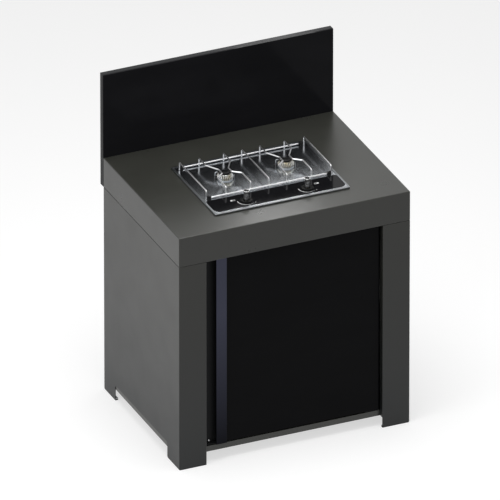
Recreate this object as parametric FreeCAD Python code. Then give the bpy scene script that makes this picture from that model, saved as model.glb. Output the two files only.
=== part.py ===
import FreeCAD, Part
import math
import os
from FreeCAD import Vector

# An outdoor kitchen module: a sheet steel cabinet on four feet, a hinged glass door
# with a full-height grip, a folded worktop, a glass splashback and a two-burner gas hob.
# Millimetres, +Z up, +Y to the rear. The origin is on the floor, under the centre of
# the overall box. Names that end in share, count or deg hold no lengths.

# Overall sizes
width = 865.0
cabinet_depth = 650.0
worktop_height = 900.0
apron_height = 112.0
splash_rise = 319.0
splash_depth = 25.0

# Sheets and folds
worktop_sheet = 3.0
panel_sheet = 2.0
thin_sheet = 1.5
fold_radius = 3.0
overrun = 1.0
near = 0.01

# Cabinet sides and feet
pillar_width = 102.5
pillar_return = 25.0
pillar_cap_depth = 60.0
rear_return = 30.0
top_flange = 30.0
worktop_return = 18.0
front_foot_depth = 105.0
rear_foot_depth = 97.0
notch_height = 60.0
notch_radius = 10.0
pad_thickness = 4.0
pad_inset = 1.0
foot_plate_thickness = 3.0
foot_strip = 10.0

# Floor tray
floor_height = 61.0
tray_flange = 21.0
tray_flange_rise = 4.0
tray_tongue_gap = 0.5

# Rear panel
vent_length = 90.0
vent_width = 7.0
vent_pitch = 16.0
vent_spacing = 190.0
vent_margin = 70.0
vent_row_count = 4
vent_column_count = 3
hose_hole_radius = 16.0
hose_height = 200.0
hose_margin = 182.5
grommet_bore = 12.0
grommet_flange = 21.0
grommet_lip = 3.0
rear_flange = 20.0

# Front rail under the worktop
rail_height = 30.0
rail_depth = 40.0
rail_end_gap = 2.5

# Door
door_recess = 20.0
door_gap = 4.0
door_top_gap = 4.0
glass_thickness = 5.0
door_pan_depth = 18.0
pan_lip = 12.0
finger_gap = 36.5
grip_width = 39.0
grip_proud = 10.0
grip_sheet = 3.0
channel_depth = 17.0
end_cap_thickness = 2.0
end_cap_tab = 16.0

# Door pivots
pivot_inset = 30.0
pivot_setback = 12.0
pivot_pin_radius = 3.0
pivot_clearance = 0.05
pivot_bush_radius = 4.2
pivot_bush_flange_radius = 5.4
pivot_bush_flange = 1.0
pivot_bush_length = 9.0
pivot_end_gap = 0.3
pivot_pin_reach = 12.0
bracket_thickness = 2.5
bracket_length = 58.0
bracket_width = 30.0

# Magnet catch
magnet_width = 40.0
magnet_depth = 14.0
magnet_height = 20.0
magnet_gap = 0.3
strike_thickness = 1.5
catch_margin = 100.5

# Screws: head radius, head height, shank radius
m5_head_radius = 4.75
m5_head_height = 2.75
m5_radius = 2.5
m5_length = 8.0
m5_clearance = 0.3
m5_socket_radius = 1.7
m4_head_radius = 3.8
m4_head_height = 2.2
m4_radius = 2.0
m4_length = 7.0
m4_socket_radius = 1.35

# Splashback
splash_glass_thickness = 6.0
splash_cover_sheet = 1.5
splash_cover_gap = 0.5
splash_lip = 14.0
splash_screw_margin = 80.0
splash_cover_column_count = 4

# Hob outline and tray
hob_width = 506.0
hob_depth = 379.0
hob_front_margin = 102.5
hob_corner_radius = 4.0
hob_sheet = 1.2
gasket_thickness = 2.0
gasket_inset = 1.0
gasket_clearance = 0.6
hob_rim_height = 4.5
hob_rim_width = 6.0
hob_field_drop = 1.5
cutout_margin = 17.0
cutout_radius = 8.0
casing_gap = 3.0
casing_height = 45.0
clamp_offset = 150.0
clamp_length = 22.0
clamp_width = 16.0
clamp_thickness = 2.0
clamp_screw_offset = 5.0

# Control glass at the front of the hob
control_glass_thickness = 4.0
control_front_margin = 10.5
control_depth = 91.5
control_side_margin = 7.5
control_front_radius = 22.0
control_rear_radius = 9.0
control_gap = 0.2

# Burners
burner_spacing = 228.0
burner_shift = 3.0
cup_radius = 27.0
cup_flange_radius = 31.0
cup_drop = 18.0
cup_body_radius = 22.0
cup_rise = 3.0
cup_ring_gap = 0.5
cup_ring_height = 2.0
cup_ring_width = 2.5
mixer_radius = 7.0
seat_gap = 0.3
crown_radius = 29.0
crown_wall_height = 9.0
crown_cone_height = 10.0
crown_bore_radius = 20.0
crown_top_radius = 20.5
crown_roof = 2.0
port_width = 1.6
port_count = 24
cap_radius = 15.0
cap_thickness = 5.0
cap_bevel = 1.5
cap_spigot_radius = 7.0
cap_spigot_depth = 1.5
crown_hole_radius = 7.3
injector_radius = 4.0
injector_hex_radius = 6.0
injector_height = 8.0
injector_bore = 0.6
holder_radius = 11.0
holder_height = 27.0
probe_radius = 1.6
probe_side = 21.0
probe_front = 32.0
probe_rise = 26.0
probe_nut_radius = 4.5
probe_nut_height = 3.0
probe_tail = 14.0
electrode_side = 33.0
electrode_setback = 11.0
electrode_radius = 3.2
electrode_rise = 12.0
electrode_wire_radius = 1.1
electrode_tip_rise = 24.5
electrode_tip_length = 9.0
hole_gap = 0.3

# Pan support of bent wire
wire_radius = 2.5
wire_level = 31.0
post_margin = 29.0
leg_margin = 18.0
bend_radius = 4.0
outer_bar_offset = 233.5
arm_offset = 46.0
arm_inner_offset = 18.0
rear_corner_reach = 60.0
rear_inner_reach = 13.5
front_inner_reach = 16.0
front_corner_reach = 38.5
wire_foot_gap = 0.5
cross_rod_level = 5.7
block_width = 12.0
block_depth = 12.0
block_height = 10.0
block_overlap = 3.0
block_round = 2.0

# Knobs and valves
knob_margin = 50.0
knob_stem_radius = 8.5
knob_cap_radius = 11.5
knob_stem_height = 25.0
knob_flare_height = 4.0
knob_cap_height = 5.0
knob_travel = 4.0
knob_clearance_height = 5.0
knob_round = 1.2
bezel_radius = 22.5
bezel_height = 4.0
bezel_bore_gap = 0.8
bezel_bevel = 2.0
spindle_radius = 4.0
spindle_clearance = 0.05
spindle_socket_depth = 12.0
washer_radius = 7.5
washer_thickness = 2.0
valve_width = 22.0
valve_depth = 30.0
valve_height = 24.0
valve_roof = 3.0
valve_cavity_radius = 8.0
valve_outlet_length = 8.0
valve_outlet_radius = 6.0
spindle_foot = 3.0
manifold_radius = 7.0
manifold_wall = 1.2
manifold_rise = 4.0
manifold_left_end = 150.0
supply_offset = 200.0
supply_bend_radius = 20.0
feed_radius = 3.0
feed_bore = 2.0
inlet_thread_radius = 10.4
inlet_length = 20.0
inlet_hex_radius = 14.0
inlet_hex_length = 5.0
igniter_width = 40.0
igniter_depth = 28.0
igniter_height = 18.0

# Shares of a height or depth, chosen by hand
rear_screw_shares = [0.08, 0.36, 0.64, 0.92]
grip_screw_shares = [0.1, 0.37, 0.63, 0.9]
bracket_screw_shares = [0.25, 0.75]

# Places worked out from the sizes
m5_bore = m5_radius + m5_clearance
inner_fold = fold_radius - panel_sheet
x_side = width / 2
x_opening = x_side - pillar_width
y_front = -(cabinet_depth + splash_depth) / 2
y_rear = y_front + cabinet_depth
z_seam = worktop_height - apron_height
z_top = worktop_height + splash_rise
rail_half_length = x_side - top_flange - rail_end_gap
x_hose = x_side - hose_margin

door_front = y_front + door_recess
door_right = x_opening - door_gap
door_left = -door_right
door_low = floor_height + door_gap
door_high = z_seam - door_top_gap
door_rear = door_front + glass_thickness + door_pan_depth
grip_left = -x_opening + finger_gap + door_gap
grip_right = grip_left + grip_width
x_catch = grip_right + catch_margin
pivot_x = door_right - pivot_inset
pivot_y = door_front + pivot_setback

hob_y = y_front + hob_front_margin + hob_depth / 2
x_hob = hob_width / 2
hob_front = hob_y - hob_depth / 2
hob_rear = hob_y + hob_depth / 2
rim_low = worktop_height + gasket_thickness
rim_top = rim_low + hob_rim_height
field_top = rim_top - hob_field_drop
field_low = field_top - hob_sheet
glass_seat = rim_top - control_glass_thickness
seat_low = glass_seat - hob_sheet
control_front = hob_front + control_front_margin
control_rear = control_front + control_depth
x_control = x_hob - control_side_margin
gasket_inner_inset = control_side_margin - control_gap - hob_sheet - gasket_clearance
x_cutout = x_hob - cutout_margin
cutout_front = hob_front + cutout_margin
cutout_rear = hob_rear - cutout_margin
x_casing = x_cutout - casing_gap
casing_front = cutout_front + casing_gap
casing_rear = cutout_rear - casing_gap
casing_low = worktop_height - casing_height

post_y = hob_rear - post_margin
leg_y = control_rear + leg_margin
burner_y = (leg_y + post_y) / 2 - burner_shift
burner_places = [-burner_spacing / 2, burner_spacing / 2]
cup_top = field_top + cup_rise
crown_low = cup_top
crown_edge = crown_low + crown_wall_height
crown_top = crown_edge + crown_cone_height
wire_z = field_top + wire_level
block_inner = outer_bar_offset - wire_radius - block_width
knob_y = control_rear - knob_margin
knob_low = rim_top + knob_clearance_height
knob_flare_low = knob_low + knob_stem_height
manifold_z = casing_low + thin_sheet + manifold_rise + manifold_radius
valve_low = manifold_z
valve_top = valve_low + valve_height
outlet_z = valve_low + manifold_radius + valve_outlet_radius / 2

across = Vector(1, 0, 0)
back = Vector(0, 1, 0)
up = Vector(0, 0, 1)
middle = Vector(0, 0, 0)


# Basic forms
def block(x0, x1, y0, y1, z0, z1):
    """A box between two corners."""
    return Part.makeBox(x1 - x0, y1 - y0, z1 - z0, Vector(x0, y0, z0))


def disc(radius, x, y, z0, z1):
    """An upright cylinder."""
    return Part.makeCylinder(radius, z1 - z0, Vector(x, y, z0))


def bar(radius, start, end):
    """A straight round bar between two points."""
    run = end - start
    return Part.makeCylinder(radius, run.Length, start, run)


def joined(*shapes):
    """The shapes as one solid."""
    return shapes[0].fuse(list(shapes[1:])).removeSplitter()


def group(shapes):
    """Separate solids that share a node."""
    return Part.makeCompound(shapes)


def mirrored(shape):
    """The same piece on the other side of the module."""
    return shape.mirror(middle, across)


def is_upright(edge):
    a, b = edge.Vertexes[0].Point, edge.Vertexes[-1].Point
    return abs(a.x - b.x) < near and abs(a.y - b.y) < near and abs(a.z - b.z) > near


def eased(shape, radius, chosen):
    """The shape with the edges that chosen picks rounded."""
    return shape.makeFillet(radius, [edge for edge in shape.Edges if chosen(edge)])


def plate(x0, x1, y0, y1, z0, z1, radius):
    """A flat plate with rounded corners in plan."""
    return eased(block(x0, x1, y0, y1, z0, z1), radius, is_upright)


def turned(points, x, y):
    """A solid turned about an upright axis, from radius and height pairs."""
    outline = [Vector(x + r, y, z) for r, z in points]
    face = Part.Face(Part.makePolygon(outline + [outline[0]]))
    return face.revolve(Vector(x, y, 0), up, 360)


def prism(points, z0, z1):
    """A polygon in plan, drawn up between two heights."""
    outline = [Vector(x, y, z0) for x, y in points]
    return Part.Face(Part.makePolygon(outline + [outline[0]])).extrude(up * (z1 - z0))


def inner_line(points, sheet):
    """The line one sheet to the left of a folded line."""
    shifted = []
    for i, (x, y) in enumerate(points):
        here = Vector(x, y, 0)
        normals = []
        for a, b in ((i - 1, i), (i, i + 1)):
            if a >= 0 and b < len(points):
                run = Vector(points[b][0] - points[a][0], points[b][1] - points[a][1], 0).normalize()
                normals.append(Vector(-run.y, run.x, 0))
        total = normals[0] + normals[-1]
        place = here + total * (sheet * 2 / total.Length ** 2)
        shifted.append((place.x, place.y))
    return shifted


def folded(points, sheet, radius, z0, z1):
    """A sheet folded along a line in plan, with round folds."""
    inside = inner_line(points, sheet)
    solid = prism(points + inside[::-1], z0, z1)
    for corners, size in ((points[1:-1], radius), (inside[1:-1], radius - sheet)):
        if size > near:
            def at_fold(edge, places=corners):
                p = edge.Vertexes[0].Point
                return is_upright(edge) and any(math.hypot(p.x - x, p.y - y) < near for x, y in places)
            solid = eased(solid, size, at_fold)
    return solid


def pan(x0, x1, y0, y1, z0, z1, sheet, lip, rebate):
    """A shallow tray open to the rear, with lips turned in and a rebate behind them."""
    low = y1 - rebate - sheet
    cavity = block(x0 + sheet, x1 - sheet, y0 + sheet, low, z0 + sheet, z1 - sheet)
    inset = sheet + lip
    mouth = block(x0 + inset, x1 - inset, low - overrun, y1 + overrun, z0 + inset, z1 - inset)
    cuts = [cavity, mouth]
    if rebate > near:
        cuts.append(block(x0 + sheet, x1 - sheet, low + sheet, y1 + overrun, z0 + sheet, z1 - sheet))
    return block(x0, x1, y0, y1, z0, z1).cut(cuts)


def screw(seat, into, head_radius, head_height, shank_radius, length, socket_radius):
    """A button-head screw: the head rests at seat, the shank runs along into."""
    out = into * -1
    head = Part.makeCylinder(head_radius, head_height, seat, out)
    crown_edges = [edge for edge in head.Edges if (edge.CenterOfMass - seat).dot(out) > head_height * 0.75]
    head = head.makeFillet(head_height / 2, crown_edges)
    socket = Part.makeCylinder(socket_radius, head_height, seat + out * (head_height / 2), out)
    return head.cut(socket).fuse(Part.makeCylinder(shank_radius, length, seat, into)).removeSplitter()


def m5(seat, into):
    return screw(seat, into, m5_head_radius, m5_head_height, m5_radius, m5_length, m5_socket_radius)


def m4(seat, into):
    return screw(seat, into, m4_head_radius, m4_head_height, m4_radius, m4_length, m4_socket_radius)


def hole(seat, into, radius, depth):
    """A round cutter that starts one overrun ahead of its seat."""
    return Part.makeCylinder(radius, depth + overrun, seat - into * overrun, into)


def bent_rod(points, radius, bend):
    """A round wire along straight runs joined by tangent arcs."""
    edges = []
    start = points[0]
    for before, corner, after in zip(points, points[1:], points[2:]):
        u = (corner - before).normalize()
        v = (after - corner).normalize()
        half = math.acos(max(-1.0, min(1.0, u.dot(v)))) / 2
        reach = bend * math.tan(half)
        inward = (v - u).normalize()
        arc_start = corner - u * reach
        arc_end = corner + v * reach
        arc_middle = corner + inward * (bend / math.cos(half) - bend)
        edges.append(Part.LineSegment(start, arc_start).toShape())
        edges.append(Part.Arc(arc_start, arc_middle, arc_end).toShape())
        start = arc_end
    edges.append(Part.LineSegment(start, points[-1]).toShape())
    path = Part.Wire(edges)
    ring = Part.Wire([Part.Circle(points[0], points[1] - points[0], radius).toShape()])
    return path.makePipeShell([ring], True, False)


# Cabinet
def worktop():
    """A folded lid: top sheet, deep apron on four sides and a flange turned in below."""
    lid = block(-x_side, x_side, y_front, y_rear, z_seam, worktop_height)
    outer = lid.makeFillet(fold_radius, lid.Edges)
    t = worktop_sheet
    low, high = z_seam + t, worktop_height - t
    cavity = block(-x_side + t, x_side - t, y_front + t, y_rear - t, low, high)
    r = worktop_return
    window = block(-x_side + r, x_side - r, y_front + r, y_rear - r, z_seam - overrun, low + overrun)
    cutout = plate(-x_cutout, x_cutout, cutout_front, cutout_rear,
                   high - overrun, worktop_height + overrun, cutout_radius)
    cuts = [cavity, window, cutout] + worktop_screw_holes()
    for x in splash_screw_places():
        cuts.append(hole(Vector(x, y_rear - t, splash_screw_z()), back, m5_bore, t + overrun))
    return outer.cut(cuts)


def side_panel():
    """The left side: rear flange, side, front pillar and its return folded from one sheet.

    Both returns end above the feet, level with the floor tray's flanges."""
    t = panel_sheet
    line = [(-x_side + rear_return, y_rear), (-x_side, y_rear), (-x_side, y_front),
            (-x_opening, y_front), (-x_opening, y_front + pillar_return)]
    shell = folded(line, t, fold_radius, pad_thickness, z_seam)
    flange = block(-x_side + t, -x_side + top_flange, y_front + t, y_rear - t, z_seam - t, z_seam)
    cap = block(-x_side + t, -x_opening - t, y_front + t, y_front + pillar_cap_depth, z_seam - t, z_seam)
    shell = joined(shell, flange, cap)
    shell = eased(shell, t, lambda e: e.CenterOfMass.z > z_seam - near and e.CenterOfMass.x < -x_side + near)
    notch = block(-x_side - overrun, -x_side + t + overrun,
                  y_front + front_foot_depth, y_rear - rear_foot_depth, 0, notch_height)
    notch = eased(notch, notch_radius, lambda e: e.CenterOfMass.z > notch_height - near
                  and abs(e.CenterOfMass.x + x_side - t / 2) < near)
    low = floor_height - tray_flange
    below_front = block(-x_opening - fold_radius, -x_opening + overrun, y_front + t,
                        y_front + pillar_return + overrun, 0, low)
    below_rear = block(-x_side + t, -x_side + rear_return + overrun, y_rear - fold_radius,
                       y_rear + overrun, 0, low + tray_flange_rise)
    holes = worktop_screw_holes() + rear_screw_holes() + rail_screw_holes()
    return shell.cut([notch, below_front, below_rear] + holes)


def foot_slabs(inset, z0, z1, radius):
    """Strips that follow the feet in plan, set in from the outer faces: an L in front, one behind."""
    x0, x1 = -x_side + inset, -x_side + panel_sheet + foot_strip
    y0, y1 = y_front + inset, y_rear - inset
    strip = block(x0, -x_opening - inset, y0, y_front + panel_sheet + foot_strip, z0, z1)
    front = joined(strip, block(x0, x1, y0, y_front + front_foot_depth - inset, z0, z1))
    front = eased(front, radius, lambda e: is_upright(e) and e.CenterOfMass.x < x0 + near
                  and e.CenterOfMass.y < y0 + near)
    left = [front, plate(x0, x1, y_rear - rear_foot_depth + inset, y1, z0, z1, radius)]
    return group(left + [mirrored(shape) for shape in left])


def foot_plates():
    return foot_slabs(panel_sheet, pad_thickness, pad_thickness + foot_plate_thickness, inner_fold)


def foot_pads():
    return foot_slabs(pad_inset, 0, pad_thickness, pad_inset * 2)


def floor_tray():
    """A floor with flanges turned down; its front tongue shows below the door."""
    t = panel_sheet
    x1 = x_side - panel_sheet
    x2 = x_opening - tray_tongue_gap
    y0, y1, y2 = door_front, y_front + pillar_return + tray_tongue_gap, y_rear - panel_sheet
    low = floor_height - tray_flange
    body = eased(block(-x1, x1, y1, y2, low, floor_height), inner_fold, is_upright)
    outer = joined(body, block(-x2, x2, y0, y1 + t, low, floor_height))
    under = floor_height - t
    hollow = joined(block(-x1 + t, x1 - t, y1 + t, y2 - t, low - overrun, under),
                    block(-x2 + t, x2 - t, y0 + t, y1 + t + overrun, low - overrun, under))
    tray = outer.cut(hollow)
    sloped = [(y1, low), (y2, low + tray_flange_rise), (y2, low - overrun), (y1, low - overrun), (y1, low)]
    taper = Part.Face(Part.makePolygon([Vector(-x1 - overrun, y, z) for y, z in sloped]))
    taper = taper.extrude(across * (x1 + overrun) * 2)
    holes = [hole(place, up * -1, m4_radius, m4_length) for place in bracket_screw_places(floor_height)]
    return tray.cut([taper] + holes)


def worktop_screw_places():
    run = (cabinet_depth - pillar_cap_depth) / 3
    x = x_side - (worktop_return + worktop_sheet) / 2
    return [(side * x, hob_y + i * run) for side in (-1, 1) for i in (-1, 0, 1)]


def worktop_screw_holes():
    depth = panel_sheet + worktop_sheet
    return [hole(Vector(x, y, z_seam - panel_sheet), up, m5_bore, depth + overrun)
            for x, y in worktop_screw_places()]


def rear_screw_places():
    x = x_side - rear_return / 2 - panel_sheet
    heights = [floor_height + (z_seam - floor_height) * share for share in rear_screw_shares]
    return [(side * x, z) for side in (-1, 1) for z in heights]


def rear_screw_holes():
    return [hole(Vector(x, y_rear, z), back * -1, m5_bore, panel_sheet + thin_sheet + overrun)
            for x, z in rear_screw_places()]


def back_panel():
    """The rear sheet, with vent slots, a hose hole and a flange turned forward on top."""
    y1 = y_rear - panel_sheet
    y0 = y1 - thin_sheet
    wide = x_side - panel_sheet * 2
    narrow = x_side - rear_return
    z_mid = z_seam - panel_sheet
    sheet = joined(block(-wide, wide, y0, y1, floor_height, z_mid),
                   block(-narrow, narrow, y0, y1, z_mid, z_seam),
                   block(-narrow, narrow, y0 - rear_flange, y0, z_seam - thin_sheet, z_seam))
    cuts = rear_screw_holes()
    for base, step in ((floor_height + vent_margin, 1), (z_seam - vent_margin, -1)):
        for row in range(vent_row_count):
            for column in range(vent_column_count):
                x = (column - (vent_column_count - 1) / 2) * vent_spacing
                z = base + step * row * vent_pitch
                cuts.append(slot(x, y0, y1, z))
    cuts.append(hole(Vector(x_hose, y0, hose_height), back, hose_hole_radius, thin_sheet + overrun))
    return sheet.cut(cuts)


def slot(x, y0, y1, z):
    """A vent slot cutter with round ends, through a rear sheet."""
    half = (vent_length - vent_width) / 2
    r = vent_width / 2
    y0, y1 = y0 - overrun, y1 + overrun
    ends = [bar(r, Vector(x + end, y0, z), Vector(x + end, y1, z)) for end in (-half, half)]
    return joined(block(x - half, x + half, y0, y1, z - r, z + r), *ends)


def hose_grommet():
    """A rubber ring with a groove that grips the rear sheet."""
    y1 = y_rear - panel_sheet
    y0 = y1 - thin_sheet
    centre = Vector(x_hose, y0 - grommet_lip, hose_height)
    sleeve = Part.makeCylinder(hose_hole_radius, thin_sheet + grommet_lip * 2, centre, back)
    lips = [Part.makeCylinder(grommet_flange, grommet_lip, Vector(x_hose, y, hose_height), back)
            for y in (y0 - grommet_lip, y1)]
    lips = [lip.makeFillet(grommet_lip / 3, lip.Edges) for lip in lips]
    bore = hole(centre, back, grommet_bore, thin_sheet + grommet_lip * 2 + overrun)
    return joined(sleeve, *lips).cut(bore)


def rail_screw_places():
    """Two screws into the pillar caps and one into the magnet block."""
    y = door_front + rail_depth / 2
    x = (x_opening + rail_half_length) / 2
    return [(-x, y), (x, y), (x_catch, magnet_front() + m5_head_radius)]


def rail_screw_holes():
    seat = z_seam + panel_sheet
    return [hole(Vector(x, y, seat), up * -1, m5_bore, panel_sheet * 2 + overrun)
            for x, y in rail_screw_places()]


def cabinet_screws():
    """The screws of one size that hold the cabinet, the worktop and the splashback together."""
    screws = [m5(Vector(x, y, z_seam + panel_sheet), up * -1) for x, y in rail_screw_places()]
    screws += [m5(Vector(x, y, z_seam - panel_sheet), up) for x, y in worktop_screw_places()]
    screws += [m5(Vector(x, y_rear, z), back * -1) for x, z in rear_screw_places()]
    screws += [m5(Vector(x, y_rear + panel_sheet, splash_screw_z()), back * -1) for x in splash_screw_places()]
    return group(screws)


def front_rail():
    """A channel across the front, on the pillar caps and behind the apron."""
    t = panel_sheet
    y0, y1 = door_front, door_front + rail_depth
    channel = block(-rail_half_length, rail_half_length, y0, y1, z_seam, z_seam + rail_height)
    inside = block(-rail_half_length - overrun, rail_half_length + overrun, y0 + t, y1 - t, z_seam + t,
                   z_seam + rail_height + overrun)
    holes = [hole(place, up, m4_radius, m4_length) for place in bracket_screw_places(z_seam)]
    return channel.cut([inside] + holes + rail_screw_holes())


# Door pivots
def bracket_corner():
    """The left and front corner of a pivot bracket in plan."""
    return x_opening - bracket_length, y_front + pillar_return - bracket_thickness


def bracket_screw_places(z):
    x0, y0 = bracket_corner()
    x = x0 + m4_head_radius * 2
    return [Vector(x, y0 + bracket_width * share, z) for share in bracket_screw_shares]


def countersunk(place, into):
    """A screw with a cone head, flush with the bracket at place."""
    slope = m4_head_radius - m4_radius
    head = Part.makeCone(m4_head_radius, m4_radius, slope, place, into)
    return head.fuse(Part.makeCylinder(m4_radius, m4_length, place, into)).removeSplitter()


def pivot_bracket(z0, z1, outer, into):
    """A flat bracket that carries one pivot pin; outer is the face the screws enter."""
    x0, y0 = bracket_corner()
    sheet = plate(x0, x_opening - pad_inset, y0, y0 + bracket_width, z0, z1, pad_inset * 3)
    cones = [countersunk(Vector(p.x, p.y, outer), into) for p in bracket_screw_places(outer)]
    pin_hole = disc(pivot_pin_radius, pivot_x, pivot_y, z0 - overrun, z1 + overrun)
    return sheet.cut(cones + [pin_hole])


def hinge_bracket_bottom():
    top = floor_height + bracket_thickness
    return pivot_bracket(floor_height, top, top, up * -1)


def hinge_bracket_top():
    low = z_seam - bracket_thickness
    return pivot_bracket(low, z_seam, low, up)


def hinge_screws():
    low, high = floor_height + bracket_thickness, z_seam - bracket_thickness
    down = [countersunk(Vector(p.x, p.y, low), up * -1) for p in bracket_screw_places(low)]
    rise = [countersunk(Vector(p.x, p.y, high), up) for p in bracket_screw_places(high)]
    return group(down + rise)


def hinge_pins():
    low = disc(pivot_pin_radius, pivot_x, pivot_y, floor_height, door_low + pivot_pin_reach)
    high = disc(pivot_pin_radius, pivot_x, pivot_y, door_high - pivot_pin_reach, z_seam)
    return group([low, high])


def hinge_bush(face, seat, step):
    """A bush through a wall of the door pan; it stands proud by up to its seat on the bracket."""
    bore = pivot_pin_radius + pivot_clearance
    wall = face + step * thin_sheet
    end = face + step * pivot_bush_length
    inner = wall + step * pivot_bush_flange
    body, flange = pivot_bush_radius, pivot_bush_flange_radius
    return turned([(bore, seat), (body, seat), (body, wall), (flange, wall), (flange, inner), (body, inner),
                   (body, end), (bore, end)], pivot_x, pivot_y)


def hinge_bushes():
    low = hinge_bush(door_low, floor_height + bracket_thickness + pivot_end_gap, 1)
    high = hinge_bush(door_high, z_seam - bracket_thickness - pivot_end_gap, -1)
    return group([low, high])


# Door
def door_glass():
    sheet = block(grip_right, door_right, door_front, door_front + glass_thickness, door_low, door_high)
    return eased(sheet, pad_inset, lambda e: e.CenterOfMass.y < door_front + near)


def door_pan():
    y0 = door_front + glass_thickness
    body = pan(grip_right, door_right, y0, door_rear, door_low, door_high, thin_sheet, pan_lip, 0)
    holes = [disc(pivot_bush_radius, pivot_x, pivot_y, door_low - overrun, door_low + thin_sheet + overrun),
             disc(pivot_bush_radius, pivot_x, pivot_y, door_high - thin_sheet - overrun, door_high + overrun)]
    holes.append(hole(strike_screw_place(), back * -1, m4_radius, m4_length))
    holes += [hole(place, across, m4_radius, m4_length) for place in grip_screw_places()]
    return body.cut(holes)


def handle_channel():
    """The black channel behind the fingers, along the door's free edge."""
    t = panel_sheet
    floor_front = door_front + channel_depth - t
    wall_x = grip_right - grip_sheet
    line = [(wall_x, door_front - grip_proud + grip_sheet), (wall_x, floor_front + t),
            (door_left, floor_front + t), (door_left, door_front)]
    channel = folded(line, t, fold_radius, door_low + end_cap_thickness, door_high - end_cap_thickness)
    holes = [hole(place, across, m4_radius, m4_length) for place in grip_screw_places()]
    return channel.cut(holes + [hole(place, back, m4_radius, m4_length) for place in cap_screw_places()])


def handle_strip():
    """The aluminium grip: a front strip with a leg back to the channel wall and glass."""
    y0 = door_front - grip_proud
    front = block(grip_left, grip_right, y0, y0 + grip_sheet, door_low, door_high)
    leg = block(grip_right - grip_sheet, grip_right, y0, door_front + channel_depth, door_low, door_high)
    strip = joined(front, leg)
    strip = eased(strip, pad_inset, lambda e: is_upright(e) and e.CenterOfMass.y < y0 + near)
    return strip.cut([hole(place, across, m4_radius, m4_length) for place in grip_screw_places()])


def grip_screw_places():
    x = grip_right - grip_sheet - panel_sheet
    y = door_front + (glass_thickness + channel_depth - panel_sheet) / 2
    return [Vector(x, y, door_low + (door_high - door_low) * share) for share in grip_screw_shares]


def door_screws():
    """Screws of one size: through the grip's leg, the end caps' tabs and the strike plate."""
    screws = [m4(place, across) for place in grip_screw_places()]
    screws += [m4(place, back) for place in cap_screw_places()]
    screws.append(m4(strike_screw_place(), back * -1))
    return group(screws)


def handle_end_caps():
    """Plates that close the ends of the finger channel, each with a tab behind its floor."""
    x0, x1 = door_left, grip_right - grip_sheet
    y0, y1 = door_front, door_front + channel_depth
    caps = []
    for face, step in ((door_low, 1), (door_high, -1)):
        sheet = sorted((face, face + step * end_cap_thickness))
        tab = sorted((face, face + step * end_cap_tab))
        x = cap_screw_x()
        caps.append(joined(block(x0, x1, y0, y1, *sheet),
                           block(x - end_cap_tab / 2, x + end_cap_tab / 2, y1, y1 + end_cap_thickness, *tab)))
    holes = [hole(place, back, m4_radius, m4_length) for place in cap_screw_places()]
    return group([cap.cut(holes) for cap in caps])


def cap_screw_x():
    return (door_left + grip_left) / 2


def cap_screw_places():
    """Screws through the channel's floor, seen at the foot and head of the finger gap."""
    y = door_front + channel_depth - panel_sheet
    return [Vector(cap_screw_x(), y, z) for z in (door_low + end_cap_tab / 2, door_high - end_cap_tab / 2)]


def strike_box():
    x0 = x_catch - magnet_width / 2
    z1 = door_high - thin_sheet - pan_lip / 4
    return (x0, x0 + magnet_width, z1 - magnet_height, z1)


def strike_screw_place():
    x0, x1, z0, z1 = strike_box()
    return Vector((x0 + x1) / 2, door_rear + strike_thickness, z1 - pan_lip / 2)


def strike_plate():
    x0, x1, z0, z1 = strike_box()
    sheet = plate_upright(x0, x1, door_rear, door_rear + strike_thickness, z0, z1)
    return sheet.cut(hole(strike_screw_place(), back * -1, m4_radius, m4_length))


def plate_upright(x0, x1, y0, y1, z0, z1):
    sheet = block(x0, x1, y0, y1, z0, z1)
    return eased(sheet, pad_inset, lambda e: abs((e.Vertexes[0].Point - e.Vertexes[-1].Point).y) > near)


def magnet_front():
    """The magnet's face, just behind the strike plate's screw head."""
    return door_rear + strike_thickness + m4_head_height + magnet_gap


def magnet_catch():
    """A magnet block that hangs from the rail, just behind the strike plate."""
    x0, x1, z0, z1 = strike_box()
    y = magnet_front()
    body = plate_upright(x0, x1, y, y + magnet_depth, z0, z_seam)
    seat = Vector((x0 + x1) / 2, y + m5_head_radius, z_seam + panel_sheet)
    return body.cut(hole(seat, up * -1, m5_radius, m5_length))


# Splashback
def splash_screw_places():
    x = x_side - splash_screw_margin
    return [-x, -x / 3, x / 3, x]


def splash_screw_z():
    return z_seam + apron_height / 2


def splash_pan():
    """The steel back of the splash: full depth behind the apron, thinner behind the glass."""
    y2 = y_rear + splash_depth
    rebate = splash_cover_sheet
    low = pan(-x_side, x_side, y_rear, y2, z_seam, worktop_height, panel_sheet, splash_lip, rebate)
    high = pan(-x_side, x_side, y_rear + splash_glass_thickness, y2, worktop_height, z_top, panel_sheet,
               splash_lip, rebate)
    seat = block(-x_side + panel_sheet, x_side - panel_sheet, y2 - rebate, y2 + overrun,
                 worktop_height - panel_sheet - overrun, worktop_height + panel_sheet + overrun)
    holes = [hole(Vector(x, y_rear, splash_screw_z()), back, m5_bore, panel_sheet + overrun)
             for x in splash_screw_places()]
    cover_holes = [hole(Vector(x, y2 - rebate, z), back * -1, m4_radius, panel_sheet + overrun)
                   for x, z in cover_screw_places()]
    return joined(low, high).cut([seat] + holes + cover_holes)


def splash_glass():
    sheet = block(-x_side, x_side, y_rear, y_rear + splash_glass_thickness, worktop_height, z_top)
    return eased(sheet, pad_inset, lambda e: e.CenterOfMass.y < y_rear + near
                 and e.CenterOfMass.z > worktop_height + near)


def cover_screw_places():
    x = x_side - panel_sheet - splash_lip / 2
    run = x * 2 / (splash_cover_column_count - 1)
    columns = [-x + i * run for i in range(splash_cover_column_count)]
    inset = panel_sheet + splash_lip / 2
    return [(x, z) for x in columns for z in (z_seam + inset, z_top - inset)]


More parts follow.
